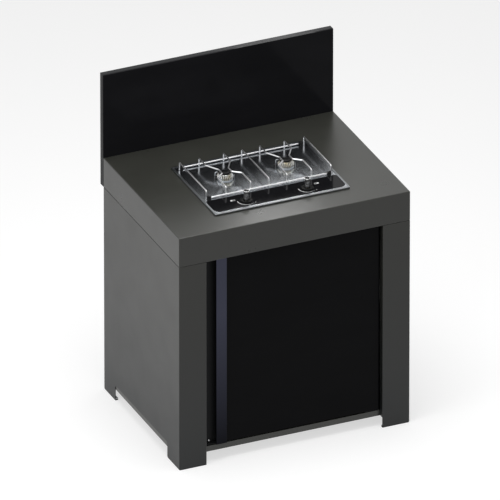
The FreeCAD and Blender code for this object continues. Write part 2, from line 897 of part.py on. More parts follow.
def splash_cover():
    """The flush rear sheet of the splashback."""
    inset = panel_sheet + splash_cover_gap
    y1 = y_rear + splash_depth
    sheet = block(-x_side + inset, x_side - inset, y1 - splash_cover_sheet, y1, z_seam + inset, z_top - inset)
    sinks = [Part.makeCone(m4_head_radius, m4_radius, splash_cover_sheet, Vector(x, y1, z), back * -1)
             for x, z in cover_screw_places()]
    return sheet.cut(sinks)


def splash_cover_screws():
    y1 = y_rear + splash_depth
    heads = []
    for x, z in cover_screw_places():
        seat = Vector(x, y1, z)
        head = Part.makeCone(m4_head_radius, m4_radius, splash_cover_sheet, seat, back * -1)
        heads.append(head.fuse(Part.makeCylinder(m4_radius, m4_length, seat, back * -1)).removeSplitter())
    return group(heads)


# Hob body
def hob_tray():
    """The pressed steel top: raised rim, flat field and a lower seat for the glass."""
    s, w, r = hob_sheet, hob_rim_width, hob_corner_radius
    outer = plate(-x_hob, x_hob, hob_front, hob_rear, rim_low, rim_top, r)
    outer = eased(outer, hob_field_drop, lambda e: e.CenterOfMass.z > rim_top - near)
    inner = plate(-x_hob + s, x_hob - s, hob_front + s, hob_rear - s, rim_low - overrun, rim_top - s, r - s)
    field = plate(-x_hob + w, x_hob - w, control_rear, hob_rear - w, field_top, rim_top + overrun, r)
    under_field = plate(-x_hob + w - s, x_hob - w + s, control_rear - s, hob_rear - w + s,
                        field_low, rim_top, r)
    seat = control_outline(control_gap, glass_seat, rim_top + overrun)
    under_seat = control_outline(control_gap + s, seat_low, rim_top - s)
    tray = joined(outer.cut(inner.cut([under_field, under_seat])), under_seat).cut([field, seat])
    cuts = []
    low = field_low - overrun
    for x in burner_places:
        cuts.append(disc(cup_radius, x, burner_y, low, rim_top))
        cuts.append(disc(probe_radius + hole_gap, x + probe_side, burner_y - probe_front, low, rim_top))
        cuts.append(disc(electrode_radius, x - electrode_side, burner_y + electrode_setback, low, rim_top))
        cuts.append(disc(knob_stem_radius, x, knob_y, seat_low - overrun, rim_top))
    return tray.cut(cuts)


def control_outline(gap, z0, z1):
    """The control glass in plan: wide round front corners, small rear ones."""
    def is_front_corner(edge):
        return is_upright(edge) and edge.CenterOfMass.y < control_front + near

    def is_rear_corner(edge):
        return is_upright(edge) and edge.CenterOfMass.y > control_rear - near
    slab = block(-x_control - gap, x_control + gap, control_front - gap, control_rear + gap, z0, z1)
    slab = eased(slab, control_front_radius + gap, is_front_corner)
    return eased(slab, control_rear_radius + gap, is_rear_corner)


def control_glass():
    slab = control_outline(0, glass_seat, rim_top)
    return slab.cut([disc(knob_stem_radius, x, knob_y, glass_seat - overrun, rim_top + overrun)
                     for x in burner_places])


def hob_gasket():
    """A foam ring between the hob's rim and the worktop."""
    r = hob_corner_radius
    i, w = gasket_inset, gasket_inner_inset
    outer = plate(-x_hob + i, x_hob - i, hob_front + i, hob_rear - i, worktop_height, rim_low, r)
    inner = plate(-x_hob + w, x_hob - w, hob_front + w, hob_rear - w,
                  worktop_height - overrun, rim_low + overrun, r)
    return outer.cut(inner)


def hob_casing():
    """The box below the hob that holds the gas parts."""
    t = thin_sheet
    high = field_low + overrun
    outer = block(-x_casing, x_casing, casing_front, casing_rear, casing_low, field_low)
    inner = block(-x_casing + t, x_casing - t, casing_front + t, casing_rear - t, casing_low + t, high)
    under_glass = block(-x_hob, x_hob, hob_front, control_rear + control_gap + hob_sheet, seat_low, high)
    inlet_place = Vector(supply_offset, casing_rear, manifold_z)
    inlet = hole(inlet_place, back * -1, inlet_thread_radius, t + overrun)
    cuts = [inner, under_glass, inlet]
    for x, y, side in clamp_places():
        cuts.append(hole(Vector(x_casing * side, y, clamp_screw_z()), across * -side, m4_radius, t + overrun))
    return outer.cut(cuts)


def igniter():
    """The spark unit that feeds both electrodes, on the casing's floor."""
    low = casing_low + thin_sheet
    y = burner_y
    box = block(-igniter_width / 2, igniter_width / 2, y, y + igniter_depth, low, low + igniter_height)
    return eased(box, pad_inset * 2, is_upright)


def clamp_places():
    return [(side * x_casing, hob_y + end * clamp_offset / 2, side) for side in (-1, 1) for end in (-1, 1)]


def clamp_screw_z():
    return worktop_height - worktop_sheet - clamp_length / 2 - clamp_screw_offset


def hob_clamps():
    """Bent clips on the casing that pull the hob down onto the worktop."""
    clips = []
    t = clamp_thickness
    high = worktop_height - worktop_sheet
    for x, y, side in clamp_places():
        y0, y1 = y - clamp_width / 2, y + clamp_width / 2
        upright = sorted((x, x + side * t))
        flat = sorted((x, x + side * clamp_length))
        clip = joined(block(*upright, y0, y1, high - clamp_length, high),
                      block(*flat, y0, y1, high - t, high))
        place = Vector(x + side * t, y, clamp_screw_z())
        clips.append(clip.cut(hole(place, across * -side, m4_radius, t + overrun)))
    return group(clips)


def clamp_screws():
    return group([m4(Vector(x + side * clamp_thickness, y, clamp_screw_z()), across * -side)
                  for x, y, side in clamp_places()])


# Gas parts
def gas_manifold():
    """The supply pipe: across below the valves, then back along the right to the inlet."""
    start = Vector(-manifold_left_end, knob_y, manifold_z)
    corner = Vector(supply_offset, knob_y, manifold_z)
    end = Vector(supply_offset, casing_rear - thin_sheet, manifold_z)
    pipe = bent_rod([start, corner, end], manifold_radius, supply_bend_radius)
    way = bent_rod([start + across * manifold_wall, corner, end + back * overrun],
                   manifold_radius - manifold_wall, supply_bend_radius)
    high = manifold_z + manifold_radius + overrun
    ports = [disc(feed_bore, x, knob_y, manifold_z, high) for x in burner_places]
    return pipe.cut([way] + ports)


def gas_inlet():
    """The threaded stub and its nut, through the casing's rear wall."""
    wall = Vector(supply_offset, casing_rear, manifold_z)
    stub = Part.makeCylinder(inlet_thread_radius, inlet_length + thin_sheet, wall - back * thin_sheet, back)
    nut = hexagon(inlet_hex_radius, inlet_hex_length / 2, wall, back)
    bore = Part.makeCylinder(manifold_radius - manifold_wall, inlet_length + overrun, wall, back)
    return joined(stub, nut).cut(bore)


def hexagon(radius, height, base, along):
    """A hexagonal nut body."""
    side = up if abs(along.z) < 0.5 else across
    other = along.cross(side)
    angles = [math.radians(60 * i) for i in range(7)]
    points = [base + side * (radius * math.cos(a)) + other * (radius * math.sin(a)) for a in angles]
    return Part.Face(Part.makePolygon(points)).extrude(along * height)


def gas_valve(x):
    """A valve body that sits on the manifold, with a cavity for the washer and spindle."""
    y0, y1 = knob_y - valve_depth / 2, knob_y + valve_depth / 2
    body = block(x - valve_width / 2, x + valve_width / 2, y0, y1, valve_low, valve_top)
    body = eased(body, pad_inset, is_upright)
    outlet = bar(valve_outlet_radius, Vector(x, y1, outlet_z), Vector(x, y1 + valve_outlet_length, outlet_z))
    saddle = bar(manifold_radius, Vector(x - valve_width, knob_y, manifold_z),
                 Vector(x + valve_width, knob_y, manifold_z))
    roof = valve_top - valve_roof
    cavity = disc(valve_cavity_radius, x, knob_y, cavity_low(), roof)
    shaft_low = cavity_low() - spindle_foot - knob_travel
    shaft = disc(spindle_radius + spindle_clearance, x, knob_y, shaft_low, valve_top + overrun)
    feed = bar(feed_radius, Vector(x, y1 + valve_outlet_length / 2, outlet_z),
               Vector(x, y1 + valve_outlet_length + overrun, outlet_z))
    way_in = disc(feed_bore, x, knob_y, manifold_z, outlet_z)
    way_out = bar(feed_bore, Vector(x, knob_y, outlet_z), Vector(x, y1 + valve_outlet_length, outlet_z))
    return joined(body, outlet).cut([saddle, cavity, shaft, feed, way_in, way_out])


def cavity_low():
    """The floor of the valve's washer cavity."""
    return valve_top - valve_roof - washer_thickness - knob_travel - seat_gap * 2


def spindle_low():
    return cavity_low() - spindle_foot + seat_gap


def feed_pipe(x):
    """The pipe from a valve back to its injector holder."""
    start = Vector(x, knob_y + valve_depth / 2 + valve_outlet_length / 2, outlet_z)
    end = Vector(x, burner_y - holder_radius / 2, outlet_z)
    return bar(feed_radius, start, end).cut(bar(feed_bore, start - back * overrun, end + back * overrun))


def injector_holder(x):
    """The stand below a burner: the feed enters its side and the injector its top."""
    low = casing_low + thin_sheet
    body = disc(holder_radius, x, burner_y, low, low + holder_height)
    body = body.makeChamfer(pad_inset, [e for e in body.Edges if e.CenterOfMass.z > low + holder_height - near
                                        and len(e.Vertexes) == 1])
    feed = bar(feed_radius, Vector(x, burner_y - holder_radius - overrun, outlet_z),
               Vector(x, burner_y - holder_radius / 2, outlet_z))
    way = bar(feed_bore, Vector(x, burner_y - holder_radius, outlet_z), Vector(x, burner_y, outlet_z))
    rise = disc(feed_bore, x, burner_y, outlet_z, low + holder_height + overrun)
    return body.cut([feed, way, rise])


def injector(x):
    """A brass jet with a hexagon foot and a fine bore."""
    low = casing_low + thin_sheet + holder_height
    seat = Vector(x, burner_y, low)
    foot = hexagon(injector_hex_radius, injector_height / 3, seat, up)
    nose = Part.makeCone(injector_radius, injector_radius / 2, injector_height, seat, up)
    return joined(foot, nose).cut(hole(seat, up, injector_bore, injector_height + overrun))


# Burner heads
def burner_cup(x):
    """The fixed foot of a burner, clamped below the field, with its mixing tube."""
    low = field_low - cup_drop
    flange_low = field_low - hob_sheet
    ring = crown_bore_radius - cup_ring_gap
    ring_inner = ring - cup_ring_width
    ring_top = cup_top + cup_ring_height
    points = [(mixer_radius, low), (cup_body_radius, low), (cup_body_radius, flange_low),
              (cup_flange_radius, flange_low), (cup_flange_radius, field_low), (cup_radius, field_low),
              (cup_radius, cup_top), (ring, cup_top), (ring, ring_top), (ring_inner, ring_top),
              (ring_inner, cup_top), (mixer_radius, cup_top)]
    return turned(points, x, burner_y)


def burner_crown(x):
    """The flame spreader: a slotted ring with a sloping shoulder and a hole for the cap."""
    inner_low = crown_low
    inner_high = crown_top - crown_roof
    wall = crown_radius - crown_bore_radius
    points = [(crown_bore_radius, inner_low), (crown_radius, inner_low), (crown_radius, crown_edge),
              (crown_top_radius, crown_top), (crown_hole_radius, crown_top), (crown_hole_radius, inner_high),
              (crown_bore_radius - wall / 3, inner_high), (crown_bore_radius, inner_high - wall / 3)]
    crown = turned(points, x, burner_y)
    ports = []
    for i in range(port_count):
        port = block(x + crown_bore_radius - overrun, x + crown_radius + overrun, burner_y - port_width / 2,
                     burner_y + port_width / 2, crown_low + port_width * 1.5, crown_edge - port_width / 2)
        port.rotate(Vector(x, burner_y, 0), up, 360 * i / port_count)
        ports.append(port)
    return crown.cut(ports)


def burner_cap(x):
    """The black lid, with a spigot that centres it in the crown."""
    high = crown_top + cap_thickness
    low = crown_top - cap_spigot_depth
    flat = cap_radius - cap_bevel
    points = [(0, low), (cap_spigot_radius, low), (cap_spigot_radius, crown_top), (flat, crown_top),
              (cap_radius, crown_top + cap_bevel), (cap_radius, high - cap_bevel),
              (flat, high - cap_bevel / 3), (cap_radius / 2, high), (0, high)]
    return turned(points, x, burner_y)


def flame_probe(x):
    """A flame-failure probe: a thin rod through the field, held by a nut below."""
    px, py = x + probe_side, burner_y - probe_front
    high = field_top + probe_rise
    stem = disc(probe_radius, px, py, field_low - probe_tail, high)
    stem = eased(stem, probe_radius / 2, lambda e: e.CenterOfMass.z > high - near and len(e.Vertexes) == 1)
    nut = hexagon(probe_nut_radius, probe_nut_height, Vector(px, py, field_low - probe_nut_height), up)
    return joined(stem, nut)


def spark_electrode(x):
    """A ceramic post with a bent wire tip that points at the crown."""
    px, py = x - electrode_side, burner_y + electrode_setback
    post = disc(electrode_radius, px, py, field_low - probe_tail, field_top + electrode_rise)
    corner = Vector(px, py, field_top + electrode_tip_rise)
    wire = bent_rod([Vector(px, py, field_top), corner, corner + across * electrode_tip_length],
                    electrode_wire_radius, electrode_wire_radius * 2)
    return joined(post, wire)


# Pan support
def support_bars():
    """Three full bars from rear post to front leg."""
    bars = []
    foot = field_top + wire_foot_gap
    for x in (-outer_bar_offset, 0, outer_bar_offset):
        bars.append(bent_rod([Vector(x, post_y, foot), Vector(x, post_y, wire_z), Vector(x, leg_y, wire_z),
                              Vector(x, leg_y, foot)], wire_radius, bend_radius))
    return group(bars)


def support_arms(x):
    """Two bent wires over a burner: from the rear post in past the cap and out to the front leg."""
    return group([arm_wire(x, side) for side in (-1, 1)])


def arm_wire(x, side):
    outer, inner = x + side * arm_offset, x + side * arm_inner_offset
    foot = field_top + wire_foot_gap
    places = [(outer, post_y, foot), (outer, post_y, wire_z), (outer, burner_y + rear_corner_reach, wire_z),
              (inner, burner_y + rear_inner_reach, wire_z), (inner, burner_y - front_inner_reach, wire_z),
              (outer, burner_y - front_corner_reach, wire_z), (outer, leg_y, wire_z), (outer, leg_y, foot)]
    return bent_rod([Vector(*place) for place in places], wire_radius, bend_radius)


def cross_rods():
    """Rods along the posts and along the legs, just outside them."""
    z = field_top + cross_rod_level
    x = block_inner + block_overlap
    rods = [bar(wire_radius, Vector(-x, y, z), Vector(x, y, z)) for y in cross_rod_lines()]
    return group(rods)


def cross_rod_lines():
    return [leg_y - wire_radius * 2, post_y + wire_radius * 2]


def support_feet():
    """Rubber blocks at the rod ends: they hold the outer bars and stand on the field."""
    x0, x1 = block_inner, block_inner + block_width
    feet = []
    z = field_top + cross_rod_level
    for y, inward in zip(cross_rod_lines(), (1, -1)):
        y0, y1 = sorted((y + inward * (block_depth - wire_radius * 2), y - inward * wire_radius * 2))
        foot = block(x0, x1, y0, y1, field_top, field_top + block_height)
        foot = eased(foot, block_round, is_upright)
        socket = bar(wire_radius, Vector(0, y, z), Vector(x0 + block_overlap, y, z))
        feet.append(foot.cut(socket))
    return group(feet + [mirrored(foot) for foot in feet])


# Knobs
def knob(x):
    """A chrome knob: plain stem, flared cap and a socket for the spindle."""
    z0, z1 = knob_low, knob_flare_low
    z2 = z1 + knob_flare_height
    z3 = z2 + knob_cap_height
    points = [(0, z0), (knob_stem_radius, z0), (knob_stem_radius, z1), (knob_cap_radius, z2),
              (knob_cap_radius, z3), (0, z3)]
    body = turned(points, x, knob_y)
    body = eased(body, knob_round, lambda e: e.CenterOfMass.z > z3 - near and len(e.Vertexes) == 1)
    return body.cut(disc(spindle_radius, x, knob_y, z0 - overrun, z0 + spindle_socket_depth))


def knob_bezel(x):
    """The black ring on the glass that the knob sinks into when pushed."""
    bore = knob_stem_radius + bezel_bore_gap
    z0, z1 = rim_top, rim_top + bezel_height
    points = [(bore, z0), (bezel_radius, z0), (bezel_radius, z0 + bezel_height / 3),
              (bezel_radius - bezel_bevel, z1), (bore, z1)]
    return turned(points, x, knob_y)


def spindle(x):
    """The valve spindle, from the valve up into the knob."""
    return disc(spindle_radius, x, knob_y, spindle_low(), knob_low + spindle_socket_depth)


def thrust_washer(x):
    """The ring that the spring pushes up; it travels with the spindle."""
    high = valve_top - valve_roof - seat_gap
    low = high - washer_thickness
    bore = disc(spindle_radius + spindle_clearance, x, knob_y, low - overrun, high + overrun)
    return disc(washer_radius, x, knob_y, low, high).cut(bore)


def pieces():
    """Every node's name and shape."""
    left, right = burner_places
    nodes = {
        "worktop": worktop(),
        "side_panel_left": side_panel(),
        "side_panel_right": mirrored(side_panel()),
        "foot_plates": foot_plates(),
        "foot_pads": foot_pads(),
        "floor_tray": floor_tray(),
        "back_panel": back_panel(),
        "hose_grommet": hose_grommet(),
        "front_rail": front_rail(),
        "cabinet_screws": cabinet_screws(),
        "hinge_bracket_bottom": hinge_bracket_bottom(),
        "hinge_bracket_top": hinge_bracket_top(),
        "hinge_screws": hinge_screws(),
        "hinge_pins": hinge_pins(),
        "magnet_catch": magnet_catch(),
        "splash_pan": splash_pan(),
        "splash_glass": splash_glass(),
        "splash_cover": splash_cover(),
        "splash_cover_screws": splash_cover_screws(),
        "door_glass": door_glass(),
        "door_pan": door_pan(),
        "handle_channel": handle_channel(),
        "handle_strip": handle_strip(),
        "handle_end_caps": handle_end_caps(),
        "door_screws": door_screws(),
        "hinge_bushes": hinge_bushes(),
        "strike_plate": strike_plate(),
        "hob_tray": hob_tray(),
        "control_glass": control_glass(),
        "hob_gasket": hob_gasket(),
        "hob_casing": hob_casing(),
        "hob_clamps": hob_clamps(),
        "clamp_screws": clamp_screws(),
        "igniter": igniter(),
        "gas_manifold": gas_manifold(),
        "gas_inlet": gas_inlet(),
        "feed_pipes": group([feed_pipe(x) for x in burner_places]),
        "injector_holders": group([injector_holder(x) for x in burner_places]),
        "injectors": group([injector(x) for x in burner_places]),
        "burner_cups": group([burner_cup(x) for x in burner_places]),
        "flame_probes": group([flame_probe(x) for x in burner_places]),
        "spark_electrodes": group([spark_electrode(x) for x in burner_places]),
        "knob_bezels": group([knob_bezel(x) for x in burner_places]),
        "support_bars": support_bars(),
        "cross_rods": cross_rods(),
        "support_feet": support_feet(),
    }
    for side, x in (("left", left), ("right", right)):
        nodes["gas_valve_" + side] = gas_valve(x)
        nodes["burner_crown_" + side] = burner_crown(x)
        nodes["burner_cap_" + side] = burner_cap(x)
        nodes["support_arms_" + side] = support_arms(x)
        nodes["knob_" + side] = knob(x)
        nodes["spindle_" + side] = spindle(x)
        nodes["thrust_washer_" + side] = thrust_washer(x)
    return nodes


def main():
    os.makedirs("parts", exist_ok=True)
    for name, shape in pieces().items():
        solids = shape.Solids
        print(name, len(solids), all(solid.isValid() for solid in solids), round(shape.Volume))
        shape.exportStep("parts/" + name + ".step")


main()
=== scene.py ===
import math

import bpy
import numpy as np
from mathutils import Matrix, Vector


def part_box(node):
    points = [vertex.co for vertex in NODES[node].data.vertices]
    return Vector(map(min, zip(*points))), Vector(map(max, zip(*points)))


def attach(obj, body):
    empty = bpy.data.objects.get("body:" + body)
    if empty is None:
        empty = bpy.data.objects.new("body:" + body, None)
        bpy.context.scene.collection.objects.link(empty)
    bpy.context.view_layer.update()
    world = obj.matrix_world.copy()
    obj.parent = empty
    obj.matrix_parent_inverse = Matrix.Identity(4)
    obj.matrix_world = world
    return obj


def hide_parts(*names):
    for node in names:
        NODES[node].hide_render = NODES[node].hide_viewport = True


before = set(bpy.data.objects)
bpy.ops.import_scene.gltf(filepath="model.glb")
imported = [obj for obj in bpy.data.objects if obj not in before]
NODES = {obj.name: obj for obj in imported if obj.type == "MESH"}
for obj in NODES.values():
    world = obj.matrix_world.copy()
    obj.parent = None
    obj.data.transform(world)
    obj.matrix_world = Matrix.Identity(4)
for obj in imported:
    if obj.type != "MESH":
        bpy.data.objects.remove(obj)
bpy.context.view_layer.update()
SIDES = ("left", "right")

bl_info = {
    "name": "Outdoor kitchen module",
    "version": (1, 0, 0),
    "blender": (4, 5, 0),
    "location": "View3D > Sidebar > Kitchen",
    "description": "Finishes and details of a sheet metal outdoor kitchen with a gas hob",
    "category": "Object",
}


def middle(node):
    """The centre of a node's box."""
    low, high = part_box(node)
    return (low + high) / 2


def round_box(node):
    """A round node's lowest and highest corner, its centre and its radius."""
    low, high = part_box(node)
    return low, high, middle(node), (high.x - low.x) / 2


# Meshes from arrays
def shell(points, wrap=False, poles=False):
    """Vertices, quads and triangles of a grid of points: rows follow a profile, columns go round it.

    Neighbouring rows and columns are joined by quads. With wrap, the last column joins the first. Poles
    close the first and the last row with a fan of triangles about the row's mean point.
    """
    rows, columns = points.shape[:2]
    index = np.arange(rows * columns).reshape(rows, columns)
    here, right = (index, np.roll(index, -1, axis=1)) if wrap else (index[:, :-1], index[:, 1:])
    quads = np.stack([here[:-1], right[:-1], right[1:], here[1:]], axis=-1).reshape(-1, 4)
    vertices, fans = points.reshape(-1, 3), np.empty((0, 3), int)
    if poles:
        for row, order in ((0, -1), (rows - 1, 1)):
            ring = index[row][::order]
            fan = np.column_stack([ring, np.roll(ring, -1), np.full(columns, len(vertices))])
            fans = np.vstack([fans, fan])
            vertices = np.vstack([vertices, points[row].mean(axis=0)])
    return vertices, quads, fans


def piece_of(name, *shells, smooth=True):
    """One object made of several shells."""
    vertices = np.vstack([points for points, _, _ in shells])
    faces, start = [], 0
    for points, quads, fans in shells:
        faces += (quads + start).tolist() + (fans + start).tolist()
        start += len(points)
    mesh = bpy.data.meshes.new(name)
    mesh.from_pydata(vertices.tolist(), [], faces)
    mesh.polygons.foreach_set("use_smooth", np.full(len(mesh.polygons), smooth))
    mesh.update()
    piece = bpy.data.objects.new(name, mesh)
    bpy.context.scene.collection.objects.link(piece)
    return piece


def rounded(points, bends, steps=8, spacing=0.0):
    """A line through corner points with each inner corner turned into an arc.

    At a corner between directions u and v the arc of radius b starts b tan(t/2) before it, t being the
    turn, and runs along start + b (sin(k) u + (1 - cos(k)) n) with k from 0 to t and n towards the
    inside. With a spacing, straight runs get points that far apart, so that long faces shade flat.
    """
    least_turn, least_gap = 0.01, 1e-8
    points = [np.array(point, float) for point in points]
    bends = np.broadcast_to(bends, len(points) - 2)
    line = [points[0][None]]
    for before, corner, after, bend in zip(points, points[1:], points[2:], bends):
        u = (corner - before) / np.linalg.norm(corner - before)
        v = (after - corner) / np.linalg.norm(after - corner)
        turn = math.acos(max(-1.0, min(1.0, float(u @ v))))
        if bend <= 0 or turn < least_turn:
            line.append(corner[None])
            continue
        inward = v - u * (u @ v)
        inward = inward / np.linalg.norm(inward)
        k = np.linspace(0, turn, steps)[:, None]
        begin = corner - u * bend * math.tan(turn / 2)
        line.append(begin + bend * (np.sin(k) * u + (1 - np.cos(k)) * inward))
    line = np.vstack([*line, points[-1][None]])
    length = np.concatenate([[0], np.cumsum(np.linalg.norm(np.diff(line, axis=0), axis=1))])
    apart = np.concatenate([[True], np.diff(length) > least_gap])
    line, length = line[apart], length[apart]
    if not spacing:
        return line
    extra = np.arange(spacing, length[-1], spacing)
    extra = extra[np.abs(extra[:, None] - length).min(axis=1) > spacing / 2]
    places = np.sort(np.concatenate([length, extra]))
    return np.column_stack([np.interp(places, length, axis) for axis in line.T])


def all_round(columns):
    """Equal angles all the way round, in radians."""
    return np.linspace(0, 2 * np.pi, columns, endpoint=False)


def about(centre, radius, angle, height):
    """The points centre + (r cos(a), r sin(a), z), from arrays of r, a and z."""
    return np.stack([centre[0] + radius * np.cos(angle), centre[1] + radius * np.sin(angle), height], axis=-1)


def tube(line, radius, side, columns=20, cap=0.0):
    """A round wire along a line: p = line + r (cos(a) s + sin(a) t x s), t the tangent, s across it.

    The side hint is a direction that the line never follows. With a cap, each end is rounded off over
    that length by three smaller rings.
    """
    tangent = np.gradient(line, axis=0)
    tangent /= np.linalg.norm(tangent, axis=1)[:, None]
    across = np.cross(tangent, np.broadcast_to(side, tangent.shape))
    across /= np.linalg.norm(across, axis=1)[:, None]
    radii = np.full(len(line), radius)
    if cap > 0:
        ring_shares, sink_share = np.array([0.0, 0.3, 0.7]), 0.6
        drop = cap * (1 - np.sqrt(1 - (1 - ring_shares) ** 2))
        first = line[0] + tangent[0] * (cap * ring_shares)[:, None]
        last = line[-1] - tangent[-1] * (cap * ring_shares[::-1])[:, None]
        ring = radius - drop * radius / cap * sink_share
        line = np.vstack([first, line[0] + tangent[0] * cap, line[1:-1], line[-1] - tangent[-1] * cap, last])
        tangent = np.vstack([tangent[[0] * 4], tangent[1:-1], tangent[[-1] * 4]])
        across = np.vstack([across[[0] * 4], across[1:-1], across[[-1] * 4]])
        radii = np.concatenate([ring, [radius], radii[1:-1], [radius], ring[::-1]])
    angle = all_round(columns)[None, :, None]
    other = np.cross(tangent, across)
    offset = np.cos(angle) * across[:, None] + np.sin(angle) * other[:, None]
    return shell(line[:, None] + radii[:, None, None] * offset, wrap=True, poles=True)


def lathe(profile, centre, columns=96, ribs=None, poles=True):
    """A turned body: p = centre + (r cos(a), r sin(a), z) along a profile of (r, z) rows.

    The profile runs from below on the axis, outwards, up and in again. Without poles it is the closed
    section of a ring. Ribs(rows, a) is what is taken off the radius, for flutes and slots.
    """
    profile = np.array(profile, float)
    angle = all_round(columns)
    radius = np.repeat(profile[:, :1], columns, axis=1)
    if ribs is not None:
        radius = radius - ribs(profile, angle)
    height = np.repeat(profile[:, 1:], columns, axis=1)
    return shell(about(centre, radius, angle, height), wrap=True, poles=poles)


def bead(centre, size, rows=8, columns=16):
    """A small ellipsoid, for a drop of weld: p = centre + size (cos(b) cos(a), cos(b) sin(a), sin(b))."""
    lift = np.linspace(-np.pi / 2, np.pi / 2, rows + 2)[1:-1, None]
    angle = all_round(columns)[None, :]
    unit = about((0, 0), np.cos(lift), angle, np.sin(lift) + 0 * angle)
    return shell(np.array(centre) + unit * np.array(size), wrap=True, poles=True)


def finish_piece(piece, body, material, slot, *replaced):
    """Gives a piece its material and its body, and hides the nodes that it stands for."""
    piece.data.materials.clear()
    piece.data.materials.append(material)
    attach(piece, body)
    if replaced:
        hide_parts(*replaced)


def dress(material, *names):
    """Gives CAD nodes their material."""
    for name in names:
        node = NODES[name]
        node.data.materials.clear()
        node.data.materials.append(material)


# Materials from nodes
def blank(name):
    """A new material, its node tree and its shader."""
    material = bpy.data.materials.get(name)
    if material is not None:
        bpy.data.materials.remove(material)
    material = bpy.data.materials.new(name)
    material.use_nodes = True
    return material, material.node_tree, material.node_tree.nodes["Principled BSDF"]


def grain(tree, scale, stretch=(1, 1, 1), detail=3.0):
    """Noise on object coordinates; stretch makes it longer where its value is small."""
    place = tree.nodes.new("ShaderNodeTexCoord")
    mapping = tree.nodes.new("ShaderNodeMapping")
    mapping.inputs["Scale"].default_value = stretch
    noise = tree.nodes.new("ShaderNodeTexNoise")
    noise.inputs["Scale"].default_value = scale
    noise.inputs["Detail"].default_value = detail
    tree.links.new(place.outputs["Object"], mapping.inputs["Vector"])
    tree.links.new(mapping.outputs["Vector"], noise.inputs["Vector"])
    return noise.outputs["Fac"]


def spread(tree, factor, low, high, start=0.3, end=0.7):
    """Maps a factor from start to end, by default the middle of a noise, to values from low to high."""
    node = tree.nodes.new("ShaderNodeMapRange")
    node.inputs["From Min"].default_value = start
    node.inputs["From Max"].default_value = end
    node.inputs["To Min"].default_value = low
    node.inputs["To Max"].default_value = high
    tree.links.new(factor, node.inputs["Value"])
    return node.outputs["Result"]


def two_tone(tree, factor, colour, other, start=0.3, end=0.7):
    """Blends two colours by the part of a factor between start and end."""
    return blend_sockets(tree, spread(tree, factor, 0, 1, start, end), colour, other)


def blend_sockets(tree, factor, colour, other):
    """Blends colours or colour sockets by a factor from 0 to 1."""
    mix = tree.nodes.new("ShaderNodeMix")
    mix.data_type = "RGBA"
    tree.links.new(factor, mix.inputs["Factor"])
    for name, value in (("A", colour), ("B", other)):
        if isinstance(value, bpy.types.NodeSocket):
            tree.links.new(value, mix.inputs[name])
        else:
            mix.inputs[name].default_value = (*value, 1)
    return mix.outputs["Result"]


def reckon(tree, operation, *values):
    """One step of arithmetic on sockets and numbers."""
    node = tree.nodes.new("ShaderNodeMath")
    node.operation = operation
    for socket, value in zip(node.inputs, values):
        if isinstance(value, bpy.types.NodeSocket):
            tree.links.new(value, socket)
        else:
            socket.default_value = value
    return node.outputs[0]


def object_axes(tree):
    """The three object coordinates as separate sockets."""
    place = tree.nodes.new("ShaderNodeTexCoord")
    split = tree.nodes.new("ShaderNodeSeparateXYZ")
    tree.links.new(place.outputs["Object"], split.inputs["Vector"])
    return [split.outputs[axis] for axis in "XYZ"]


def surface(tree, shader, colour, rough, metallic=0, level=0.5):
    """Links a shader's colour and roughness, and sets how metallic and how glossy it is."""
    tree.links.new(colour, shader.inputs["Base Color"])
    tree.links.new(rough, shader.inputs["Roughness"])
    shader.inputs["Metallic"].default_value = metallic
    shader.inputs["Specular IOR Level"].default_value = level


def relief(tree, shader, height, strength, depth):
    """Bump from a height, depth in metres."""
    bump = tree.nodes.new("ShaderNodeBump")
    bump.inputs["Strength"].default_value = strength
    bump.inputs["Distance"].default_value = depth
    tree.links.new(height, bump.inputs["Height"])
    tree.links.new(bump.outputs["Normal"], shader.inputs["Normal"])


def shaded(colour, share):
    """A colour times a share."""
    return tuple(channel * share for channel in colour)


def mottled(tree, factor, colour, tone):
    """A colour that a factor makes darker and lighter by the share called tone."""
    return two_tone(tree, factor, shaded(colour, 1 - tone), shaded(colour, 1 + tone))


def powder_coat(name, colour, rough, level, foot=None):
    """Baked powder paint: a fine orange-peel relief and slow changes in tone and gloss.

    With a foot colour, the paint darkens from a little below the apron down to the floor, and the outer
    side faces lose some gloss on the way, a painted shade of the darker floor that they reflect near the
    cabinet: level (1 - c s (1 - h)), with c the loss at the floor, s one on those faces and h the share of
    the way up.
    """
    material, tree, shader = blank(name)
    slow = grain(tree, scale=9, detail=4)
    paint = mottled(tree, slow, colour, tone=0.05)
    # Painted shade: towards the floor the paint darkens to the foot colour and the outer side faces lose
    # gloss, standing in for the darker floor they reflect
    if foot:
        foot_shade_top, skin, loss = 0.75, 0.0005, 0.45
        x, _, z = object_axes(tree)
        edge = -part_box("side_panel_left")[0].x
        rise = spread(tree, z, 0, 1, 0, foot_shade_top)
        paint = blend_sockets(tree, rise, foot, paint)
        side = spread(tree, reckon(tree, "ABSOLUTE", x), 0, 1, edge - skin * 2, edge - skin)
        lost = reckon(tree, "MULTIPLY", side, spread(tree, rise, loss, 0, 0, 1))
        kept = reckon(tree, "MULTIPLY", reckon(tree, "SUBTRACT", 1.0, lost), level)
        tree.links.new(kept, shader.inputs["Specular IOR Level"])
    sway = 0.03
    surface(tree, shader, paint, spread(tree, slow, rough - sway, rough + sway), level=level)
    relief(tree, shader, grain(tree, scale=420, detail=2), strength=0.25, depth=0.00012)
    return material


def black_glass(name, colour, rough, level):
    """Back-painted glass: deep black with faint wipe marks in its gloss."""
    material, tree, shader = blank(name)
    wipe = grain(tree, scale=5, stretch=(1, 1, 3), detail=5)
    smear = 0.05
    gloss = spread(tree, wipe, rough, rough + smear)
    surface(tree, shader, mottled(tree, wipe, colour, tone=0.1), gloss, level=level)
    return material


def metal(name, colour, rough=(0.2, 0.35), scale=300, depth=0.00002):
    """Bare metal: fine grain in its gloss, tone and relief."""
    material, tree, shader = blank(name)
    fine = grain(tree, scale, detail=4)
    surface(tree, shader, mottled(tree, fine, colour, tone=0.06), spread(tree, fine, *rough), metallic=1)
    relief(tree, shader, fine, strength=0.2, depth=depth)
    return material


